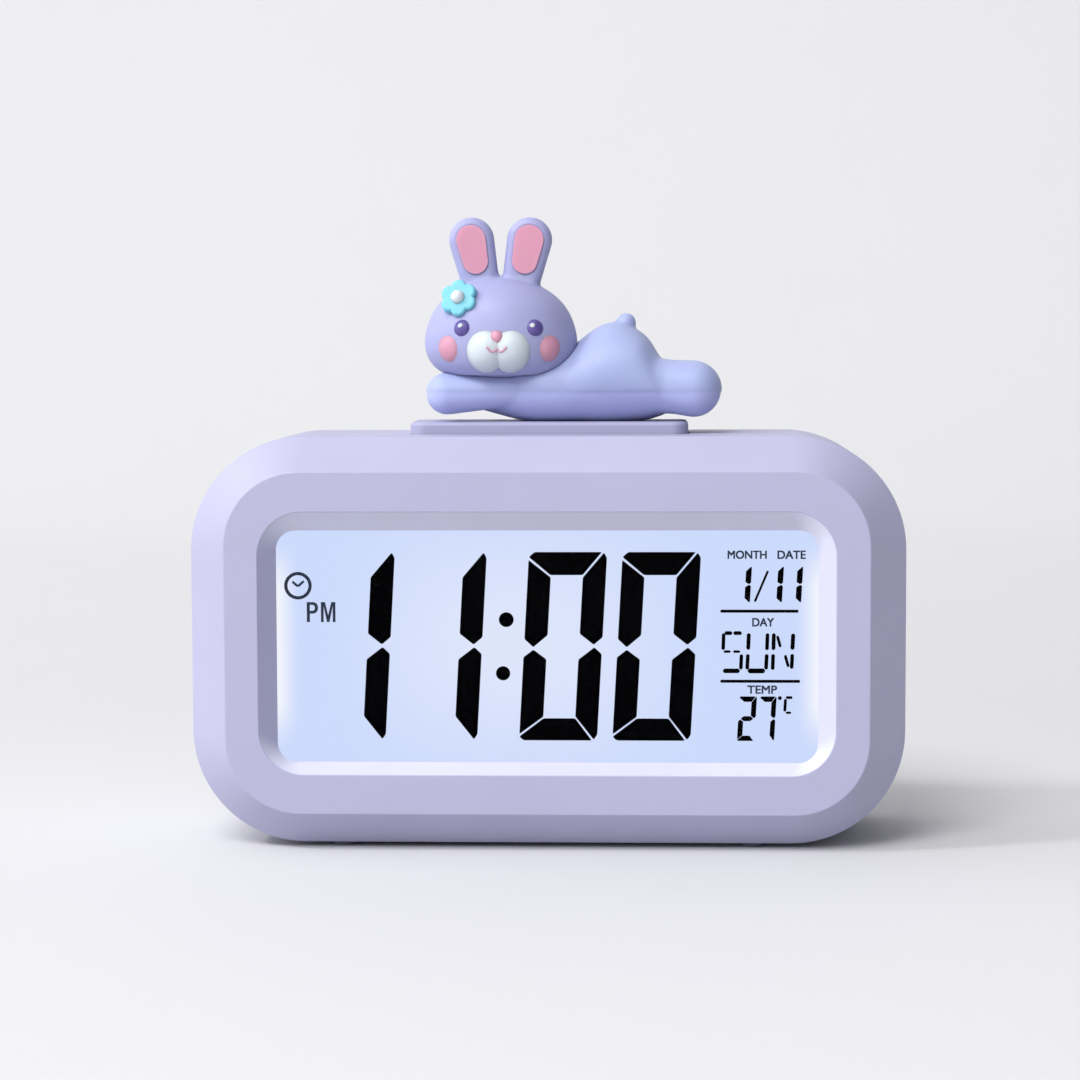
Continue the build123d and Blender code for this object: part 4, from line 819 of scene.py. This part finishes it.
# Printed words: text, lower left corner, width and height
LEGENDS = (
    ("MONTH", Vector((34.05, 55.05)) * MM, 7.25 * MM, 1.5 * MM),
    ("DATE", Vector((43.4, 55.05)) * MM, 5.2 * MM, 1.5 * MM),
    ("DAY", Vector((38.7, 42.3)) * MM, 4.0 * MM, 1.52 * MM),
    ("TEMP", Vector((37.8, 29.56)) * MM, 5.5 * MM, 1.48 * MM),
)
# Printed words are set four times, a little apart in millimetres, so that their strokes are bold
LEGEND_SHIFTS = ((-0.06, 0.0, -0.05), (-0.06, -0.002, 0.05), (0.06, -0.004, -0.05), (0.06, -0.006, 0.05))
# Bold letters of the half day in millimetres from the lower left corner
HALF_DAY_PLACE = Vector((-45.5, 43.0)) * MM
HALF_DAY_STEM = ((0.0, 0.0), (0.58, 0.0), (0.58, 3.8), (0.0, 3.8))
HALF_DAY_BOWL = ((0.58, 3.8), (1.2, 3.8), (1.72, 3.66), (2.05, 3.28), (2.15, 2.72), (2.05, 2.16),
                 (1.72, 1.76), (1.2, 1.6), (0.58, 1.6), (0.58, 2.14), (1.12, 2.14), (1.42, 2.26),
                 (1.56, 2.7), (1.42, 3.14), (1.12, 3.27), (0.58, 3.27))
HALF_DAY_M = ((2.68, 0.0), (2.68, 3.8), (3.46, 3.8), (4.06, 1.3), (4.66, 3.8), (5.44, 3.8), (5.44, 0.0),
              (4.92, 0.0), (4.92, 2.95), (4.3, 0.0), (3.82, 0.0), (3.2, 2.95), (3.2, 0.0))
# Alarm sign: middle, outer and inner radius of its ring, steps round it, and its hands
ALARM_RING = (Vector((-47.14, 49.91)) * MM, 2.62 * MM, 1.99 * MM)
ALARM_STEPS = 48
ALARM_HANDS = (Vector((-1.08, 0.78)) * MM, Vector((0.0, -0.14)) * MM, Vector((1.14, 0.9)) * MM)
ALARM_HAND_WIDTH = 0.46 * MM
ALARM_HAND_POINT = 0.08 * MM


class CLOCK_OT_readouts(Operator):
    """Make the date, day and temperature read-outs, their rules and the printed legends"""
    bl_idname = "clock.readouts"
    bl_label = "Small read-outs"

    def execute(self, context):
        look = context.scene.clock_display
        front, back = layer_span()
        shape = bmesh.new()
        for shown, corner, width, height in SMALL_DIGITS:
            for name in shown:
                outline = eased(segment(look, name, corner, width, height), SMALL_EASE)
                prism(shape, outline, front, back)
        for x_start, z_start, x_end, z_end, width in BARS:
            ends = (Vector((x_start, z_start)) * MM, Vector((x_end, z_end)) * MM)
            outline = eased(stroke(*ends, width * MM, BAR_POINT_SHARE * width * MM), SMALL_EASE)
            prism(shape, outline, front, back)
        start, end, width = DATE_SLASH
        prism(shape, stroke(start, end, width, width / 3), front, back)
        prism(shape, circle(*DEGREE_DOT, DEGREE_STEPS), front, back)
        for left, right, level in RULES:
            prism(shape, stroke(Vector((left, level)), Vector((right, level)), RULE_WIDTH, RULE_WIDTH / 4),
                  front, back)
        ink = printed_ink("readout_ink", tuple(look.segment))
        piece("display_readouts", mesh_of("display_readouts", shape), "case", "polariser_film", ink)
        self.print_legends(look, front, back)
        return {"FINISHED"}

    def print_legends(self, look, front, back):
        """Words, the half day and the alarm sign."""
        shape = bmesh.new()
        for text, corner, width, height in LEGENDS:
            place = Vector((corner.x, back, corner.y))
            for shift in LEGEND_SHIFTS:
                set_word(shape, text, (width, height, back - front), place + Vector(shift) * MM, FRONT)
        for letter in (HALF_DAY_STEM, HALF_DAY_BOWL, HALF_DAY_M):
            prism(shape, [HALF_DAY_PLACE + Vector(point) * MM for point in letter], front, back)
        centre, outer, inner = ALARM_RING
        ring = [[shape.verts.new((p.x, y, p.y)) for p in circle(centre, radius, ALARM_STEPS)]
                for radius, y in ((outer, front), (outer, back), (inner, back), (inner, front))]
        for one, other in zip(ring, ring[1:] + ring[:1]):
            for step in range(ALARM_STEPS):
                following = (step + 1) % ALARM_STEPS
                shape.faces.new((one[step], one[following], other[following], other[step]))
        for tip in (ALARM_HANDS[0], ALARM_HANDS[2]):
            hand = stroke(centre + ALARM_HANDS[1], centre + tip, ALARM_HAND_WIDTH, ALARM_HAND_POINT)
            prism(shape, hand, front, back)
        ink = printed_ink("legend_ink", tuple(look.legend))
        piece("display_legends", mesh_of("display_legends", shape), "case", "polariser_film", ink)


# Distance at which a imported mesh's vertices are joined
WELD = 0.001 * MM
# Height over which the mould's parting step, and the painted bounce light below it, are blended
SEAM_BLEND = 0.5 * MM
# Middle and reach of the fuller part of the rump
RUMP_PLACE = Vector((18.6, 95.6)) * MM
RUMP_REACH = 3.2 * MM
# How fast creases fill before and behind the haunch, and the half length of the change between the two
FILL_RATES = (0.02, 0.5)
FILL_BLEND = 1.0 * MM
# Height above the top key where the filling starts
FILL_START = 0.3 * MM


class CLOCK_OT_figure(Operator):
    """Make the softened body and head of the figure"""
    bl_idname = "clock.figure"
    bl_label = "Figure"

    def execute(self, context):
        look = context.scene.clock_figure
        vinyl = finish("lavender_vinyl")
        body = softened("figure_body_soft", "figure_body", "top_key", vinyl)
        draw_out(body.data, lambda place: look.rump * self.rump_share(place))
        fill_creases(body.data, look.fill_passes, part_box("snooze_key")[1].z + FILL_START, look.haunch)
        draw_out(body.data, lambda place: look.seam_step * self.seam_share(place, look.seam_height))
        head_vinyl = soft_vinyl("head_vinyl", tuple(look.head))
        softened("figure_head_soft", "figure_head", "top_key", head_vinyl)
        dress("ear_linings", "figure_screws")
        return {"FINISHED"}

    def rump_share(self, place):
        """Share of the rump's fullness that reaches a place."""
        away = (Vector((place.x, place.z)) - RUMP_PLACE).length / RUMP_REACH
        return math.exp(-away * away)

    def seam_share(self, place, seam):
        """Half a step out above the mould's parting and half a step in below it."""
        rise = min(1.0, max(0.0, (place.z - seam) / SEAM_BLEND + 0.5))
        return rise * rise * (3 - 2 * rise) - 0.5


# Face: catchlights in the eyes and the line of the mouth
GLINT_RADIUS = 0.5 * MM
GLINT_RISE = 0.16 * MM
GLINT_OFFSET = Vector((-0.35, 0.5)) * MM
# Profile of a catchlight as shares of its rise and radius
GLINT_SHARES = ((-1.0, 0.0), (-1.0, 0.7), (0.0, 1.0), (0.6, 0.75), (0.9, 0.4), (1.0, 0.0))
GLINT_STEPS = 24
MOUTH_RADIUS = 0.2 * MM
MOUTH_REACH = 1.9 * MM
MOUTH_DROP = 0.9 * MM
# The mouth's level below the nose, the share of its arch before the middle, its lift and its steps
MOUTH_LEVEL = 0.75 * MM
MOUTH_ENTRY_SHARE = 0.15
MOUTH_LIFT = 0.02 * MM
MOUTH_STEPS = 10


class CLOCK_OT_face(Operator):
    """Finish the face and add the catchlights and the mouth"""
    bl_idname = "clock.face"
    bl_label = "Face"

    def execute(self, context):
        dress("muzzle", "eyes", "cheeks", "nose", "flower_petals", "flower_middle")
        self.add_glints()
        self.add_mouth()
        return {"FINISHED"}

    def add_glints(self):
        """A small cap on each eye, towards the upper left."""
        low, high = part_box("eyes")
        radius = (high.z - low.z) / 2
        level = (low.z + high.z) / 2
        cap = [(GLINT_RISE * along, GLINT_RADIUS * out) for along, out in GLINT_SHARES]
        shape = bmesh.new()
        for x in (low.x + radius, high.x - radius):
            point, _ = surface("eyes", x + GLINT_OFFSET.x, level + GLINT_OFFSET.y)
            middle, normal = surface("eyes", x, level)
            dot = turned("glint", cap, GLINT_STEPS)
            facing = Vector((1, 0, 0)).rotation_difference(point - middle + normal * radius)
            dot.transform(Matrix.Translation(point) @ facing.to_matrix().to_4x4())
            shape.from_mesh(dot)
            bpy.data.meshes.remove(dot)
        piece("eye_glints", mesh_of("eye_glints", shape), "top_key", "cream_vinyl")

    def add_mouth(self):
        """Two arches under the nose, laid on the muzzle."""
        low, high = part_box("nose")
        middle = (low.x + high.x) / 2
        curve = bpy.data.curves.new("mouth", "CURVE")
        curve.dimensions = "3D"
        curve.bevel_depth = MOUTH_RADIUS
        curve.bevel_resolution = 4
        curve.use_fill_caps = True
        for side in (-1, 1):
            line = curve.splines.new("POLY")
            line.points.add(MOUTH_STEPS)
            for step in range(MOUTH_STEPS + 1):
                way = step / MOUTH_STEPS
                arch = math.sin(math.pi * (MOUTH_ENTRY_SHARE + (1 - MOUTH_ENTRY_SHARE) * way))
                level = low.z - MOUTH_LEVEL - MOUTH_DROP * arch
                point, normal = surface("muzzle", middle + side * MOUTH_REACH * way, level)
                line.points[step].co = (*(point + normal * MOUTH_LIFT), 1.0)
        holder = bpy.data.objects.new("mouth", curve)
        bpy.context.scene.collection.objects.link(holder)
        graph = bpy.context.evaluated_depsgraph_get()
        mesh = bpy.data.meshes.new_from_object(holder.evaluated_get(graph))
        bpy.data.objects.remove(holder)
        piece("mouth_line", mesh, "top_key", "pink_vinyl")


# Moulded words under the rear buttons, and the mark on the door
CONTROL_WORDS = {"mode_button": "MODE", "set_button": "SET", "up_button": "UP", "down_button": "DOWN"}
SLIDER_WORDS = ("OFF", "ON")
LETTER_WIDTH_SHARE = 0.78
WORD_DROP = 8.6 * MM
WORD_SINK = 0.02 * MM
SLIDER_WORD_REACH = 3.6 * MM
ARROW_HALF_WIDTH = 2.4 * MM
ARROW_HEIGHT = 2.6 * MM
ARROW_EASE = 0.4 * MM
ARROW_SINK = 0.1 * MM
# Height of the arrow's middle on the door as a share of the door's
ARROW_LEVEL_SHARE = 0.62


class CLOCK_OT_controls(Operator):
    """Finish the rear buttons and the slider and mould the words beside them"""
    bl_idname = "clock.controls"
    bl_label = "Rear controls"

    def execute(self, context):
        look = context.scene.clock_case
        dress("mode_button", "set_button", "up_button", "down_button", "alarm_slider", "slider_lever",
              "slide_switch", "battery_door")
        shape = bmesh.new()
        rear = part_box("rear_shell")[1].y - WORD_SINK
        for node, text in CONTROL_WORDS.items():
            low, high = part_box(node)
            self.mould(shape, text, (low.x + high.x) / 2, (low.z + high.z) / 2 - WORD_DROP, rear, look)
        low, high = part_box("slider_lever")
        middle = (low.x + high.x) / 2 + travel("alarm_slide") / 2
        for side, text in zip((-1, 1), SLIDER_WORDS):
            x = middle + side * SLIDER_WORD_REACH
            self.mould(shape, text, x, (low.z + high.z) / 2 - WORD_DROP, rear, look)
        piece("control_words", mesh_of("control_words", shape), "case", "lavender_plastic")
        self.add_door_arrow(rear, look)
        return {"FINISHED"}

    def mould(self, shape, text, x, z, y, look):
        """One word, centred across and upright as seen from behind."""
        width = LETTER_WIDTH_SHARE * look.mark_height * len(text)
        corner = Vector((x + width / 2, y, z - look.mark_height / 2))
        set_word(shape, text, (width, look.mark_height, look.mark_relief), corner, BACK)

    def add_door_arrow(self, rear, look):
        """Raised arrow that shows which way the door is pushed."""
        low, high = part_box("battery_door")
        centre = Vector(((low.x + high.x) / 2, low.z + (high.z - low.z) * ARROW_LEVEL_SHARE))
        top = ARROW_HEIGHT / 2
        corners = ((-ARROW_HALF_WIDTH, top), (0, -top), (ARROW_HALF_WIDTH, top))
        outline = [centre + Vector(corner) for corner in corners]
        shape = bmesh.new()
        prism(shape, eased(outline, ARROW_EASE), rear - ARROW_SINK, rear + look.mark_relief)
        piece("door_arrow", mesh_of("door_arrow", shape), "battery_door", "lavender_plastic")


# Cells: how many, steps round each, and the length of a spring pressed by one
CELL_COUNT = 3
CELL_STEPS = 48
SPRING_LENGTH = 4.2 * MM
# Where the band starts on a cell's sleeve, as a share of the sleeve's length
CELL_BAND_SHARE = 0.74
# Height of the positive end, rolled edge of the sleeve, depth of the flat end's dish and of the groove
# round the positive end, roundness of its top, and width of the line between sleeve and band
CELL_NUB = 0.9 * MM
CELL_EDGE = 0.35 * MM
CELL_DISH = 0.15 * MM
CELL_GROOVE = 0.2 * MM
CELL_ROUND = 0.25 * MM
CELL_LINE = 0.02 * MM


class CLOCK_OT_battery(Operator):
    """Finish the battery bay and make the cells with sleeve, band and bare ends"""
    bl_idname = "clock.battery"
    bl_label = "Battery bay"

    def execute(self, context):
        dress("battery_contacts", "battery_springs", "battery_leads")
        low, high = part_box("battery_cells")
        radius = (high.y - low.y) / 2
        pitch = (high.z - low.z - 2 * radius) / (CELL_COUNT - 1)
        band = moulded_plastic("cell_band", tint(196, 150, 92), 2 * MM, 0.004 * MM, (0.18, 0.3))
        length_along = high.x - (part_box("battery_springs")[0].x + SPRING_LENGTH)
        materials = [finish("cell_sleeve"), band, finish("nickel_plate")]
        for index in range(CELL_COUNT):
            positive = 1 if index % 2 else -1
            mesh = self.cell_mesh(length_along, radius)
            start = high.x - length_along if positive > 0 else low.x + length_along
            place = Matrix.Translation((start, (low.y + high.y) / 2, low.z + radius + index * pitch))
            mesh.transform(place @ Matrix.Diagonal((positive, 1, 1, 1)))
            if positive < 0:
                mesh.flip_normals()
            made = piece(f"battery_cell_{index + 1}", mesh, "case", "cell_sleeve", *materials)
            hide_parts("battery_cells")
        return {"FINISHED"}

    def cell_mesh(self, total, radius):
        """Cell along X from its flat end, with a rolled sleeve edge and a stepped positive end."""
        body = total - CELL_NUB
        band = body * CELL_BAND_SHARE
        flat_end = [(CELL_DISH, 0.0), (CELL_DISH, radius * 0.78), (0.0, radius * 0.84)]
        sleeve = [(0.0, radius - CELL_EDGE), (CELL_EDGE, radius), (band, radius), (band + CELL_LINE, radius),
                  (body - CELL_EDGE, radius), (body, radius - CELL_EDGE)]
        positive_end = [(body, radius * 0.86), (body - CELL_GROOVE, radius * 0.8),
                        (body - CELL_GROOVE, radius * 0.42), (body, radius * 0.37),
                        (total - CELL_ROUND, radius * 0.36), (total, radius * 0.3), (total, 0.0)]
        mesh = turned("cell", flat_end + sleeve + positive_end, CELL_STEPS)
        for face in mesh.polygons:
            if math.hypot(face.center.y, face.center.z) <= radius * 0.85:
                face.material_index = 2
            elif face.center.x > band:
                face.material_index = 1
        return mesh


class CLOCK_OT_works(Operator):
    """Finish the boards, their components, the screws and the return domes"""
    bl_idname = "clock.works"
    bl_label = "Works"

    def execute(self, context):
        dress("case_screws", "display_screws", "main_board", "controller_blob", "crystal", "capacitor",
              "buzzer", "thermistor", "return_domes", "key_board", "key_switch", "key_board_screws",
              "key_leads", "panel_board", "panel_switches", "panel_board_screws", "panel_ribbon")
        self.add_folding_domes()
        return {"FINISHED"}

    def add_folding_domes(self):
        """Copies the return domes into a piece of their own on the case, with its own mesh, and hides the imported
        ones.
        """
        domes = piece("folding_domes", NODES["return_domes"].data.copy(), "case", SLOTS["return_domes"])
        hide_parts("return_domes")
        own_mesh(domes)


# Stage: the sweep's half width, reach to the front, flat run to the back, curve and height
SWEEP_HALF_WIDTH = 3.0
SWEEP_FRONT = 2.0
SWEEP_BACK = 0.7
SWEEP_CURVE = 0.8
SWEEP_HEIGHT = 2.4
SWEEP_STEPS = 24
# Span along Y over which the floor's tone turns into the backdrop's
SWEEP_FADE = (0.1, 0.9)
# Places and sizes of the lights, and the point that they face
LIGHT_TARGET = Vector((0, 0, 0.045))
KEY_PLACE = Vector((-0.978, -0.453, 0.983))
KEY_SIZE = 0.2
FILL_PLACE = Vector((-0.5, -1.3, 1.6))
FILL_SIZE = 1.0
# Tone of the sky, and the half share of its width over which it fades from left to right
SKY_TONE = (0.97, 0.97, 1.0, 1.0)
SKY_FADE = 0.6
SENSOR_WIDTH = 36.0


class CLOCK_OT_stage(Operator):
    """Lay the pale sweep and set the lights and the camera"""
    bl_idname = "clock.stage"
    bl_label = "Stage"

    def execute(self, context):
        look = context.scene.clock_stage
        self.lay_sweep(look)
        self.hang_light("key_light", KEY_PLACE, KEY_SIZE, look.key_power)
        self.hang_light("fill_light", FILL_PLACE, FILL_SIZE, look.fill_power)
        self.set_sky(look)
        self.set_camera(look)
        return {"FINISHED"}

    def lay_sweep(self, look):
        """Floor that curves up into a backdrop."""
        profile = [Vector((-SWEEP_FRONT, 0.0)), Vector((SWEEP_BACK, 0.0))]
        for step in range(1, SWEEP_STEPS + 1):
            turn = math.pi / 2 * step / SWEEP_STEPS
            curve = Vector((math.sin(turn), 1 - math.cos(turn))) * SWEEP_CURVE
            profile.append(Vector((SWEEP_BACK, 0.0)) + curve)
        profile.append(Vector((SWEEP_BACK + SWEEP_CURVE, SWEEP_HEIGHT)))
        shape = bmesh.new()
        rows = [[shape.verts.new((side * SWEEP_HALF_WIDTH, p.x, p.y)) for side in (-1, 1)] for p in profile]
        for (left, right), (far_left, far_right) in zip(rows, rows[1:]):
            shape.faces.new((left, right, far_right, far_left)).smooth = True
        mesh = bpy.data.meshes.new("sweep")
        shape.to_mesh(mesh)
        shape.free()
        sweep = bpy.data.objects.new("sweep", mesh)
        bpy.context.scene.collection.objects.link(sweep)
        paper = Finish("backdrop_paper", tuple(look.floor), 0.7, Specular_IOR_Level=0.2)
        rise = paper.span(paper.axes()["Y"], SWEEP_FADE, (0.0, 1.0), True)
        drift = paper.span(paper.noise(120 * MM), NOISE_RANGE, (-0.03, 0.03))
        tone = paper.mix(paper.reckon("ADD", rise, drift), tuple(look.floor), tuple(look.wall))
        paper.feed(tone, "Base Color")
        paper.relief(paper.noise(1.2 * MM, 4.0), 0.01 * MM)
        mesh.materials.append(paper.material)

    def hang_light(self, name, place, size, watts):
        """Round soft light that points at the clock."""
        data = bpy.data.lights.new(name, "AREA")
        data.shape = "DISK"
        data.size = size
        data.energy = watts
        light = bpy.data.objects.new(name, data)
        light.location = place
        light.rotation_euler = (LIGHT_TARGET - place).to_track_quat("-Z", "Y").to_euler()
        bpy.context.scene.collection.objects.link(light)

    def set_sky(self, look):
        """Light all round that fades from left to right, with an even pale tone where it is seen."""
        world = bpy.data.worlds.new("studio")
        world.use_nodes = True
        nodes, links = world.node_tree.nodes, world.node_tree.links
        sky = nodes["Background"]
        sky.inputs["Color"].default_value = SKY_TONE
        axes = nodes.new("ShaderNodeSeparateXYZ")
        links.new(nodes.new("ShaderNodeTexCoord").outputs["Generated"], axes.inputs[0])
        fade = nodes.new("ShaderNodeMapRange")
        links.new(axes.outputs["X"], fade.inputs["Value"])
        fade.inputs["From Min"].default_value = -SKY_FADE
        fade.inputs["From Max"].default_value = SKY_FADE
        fade.inputs["To Min"].default_value = look.sky_left
        fade.inputs["To Max"].default_value = look.sky_right
        shown = nodes.new("ShaderNodeMix")
        links.new(nodes.new("ShaderNodeLightPath").outputs["Is Camera Ray"], shown.inputs[0])
        links.new(fade.outputs[0], shown.inputs[2])
        shown.inputs[3].default_value = look.sky_seen
        links.new(shown.outputs[0], sky.inputs["Strength"])
        bpy.context.scene.world = world

    def set_camera(self, look):
        """Camera at the photograph's viewing angle."""
        data = bpy.data.cameras.new("camera")
        data.lens = look.lens
        data.sensor_width = SENSOR_WIDTH
        camera = bpy.data.objects.new("camera", data)
        camera.location = (look.camera_x, -look.camera_y, look.camera_z)
        camera.rotation_euler = (math.radians(90) - look.camera_tilt, look.camera_roll, look.camera_turn)
        bpy.context.scene.collection.objects.link(camera)
        bpy.context.scene.camera = camera
        bpy.context.scene.view_settings.view_transform = "Standard"


OPERATORS = (CLOCK_OT_case, CLOCK_OT_display, CLOCK_OT_digits, CLOCK_OT_readouts, CLOCK_OT_figure,
             CLOCK_OT_face, CLOCK_OT_controls, CLOCK_OT_battery, CLOCK_OT_works, CLOCK_OT_stage)


class CLOCK_PT_panel(Panel):
    """Lists the clock's pieces and what a user may change"""
    bl_idname = "CLOCK_PT_panel"
    bl_label = "Bedside Clock"
    bl_space_type = "VIEW_3D"
    bl_region_type = "UI"
    bl_category = "Clock"

    def draw(self, context):
        for operator in OPERATORS:
            self.layout.operator(operator.bl_idname)
        for group, look in LOOKS.items():
            box = self.layout.box()
            for name in look.__annotations__:
                box.prop(getattr(context.scene, group), name)


def register():
    for made in (*LOOKS.values(), *OPERATORS, CLOCK_PT_panel):
        bpy.utils.register_class(made)
    for group, look in LOOKS.items():
        setattr(bpy.types.Scene, group, PointerProperty(type=look))


def unregister():
    for group in LOOKS:
        delattr(bpy.types.Scene, group)
    for made in reversed((*LOOKS.values(), *OPERATORS, CLOCK_PT_panel)):
        bpy.utils.unregister_class(made)


def main():
    register()
    bpy.ops.clock.case()
    bpy.ops.clock.display()
    bpy.ops.clock.digits()
    bpy.ops.clock.readouts()
    bpy.ops.clock.figure()
    bpy.ops.clock.face()
    bpy.ops.clock.controls()
    bpy.ops.clock.battery()
    bpy.ops.clock.works()
    bpy.ops.clock.stage()


if __name__ == "__main__":
    main()
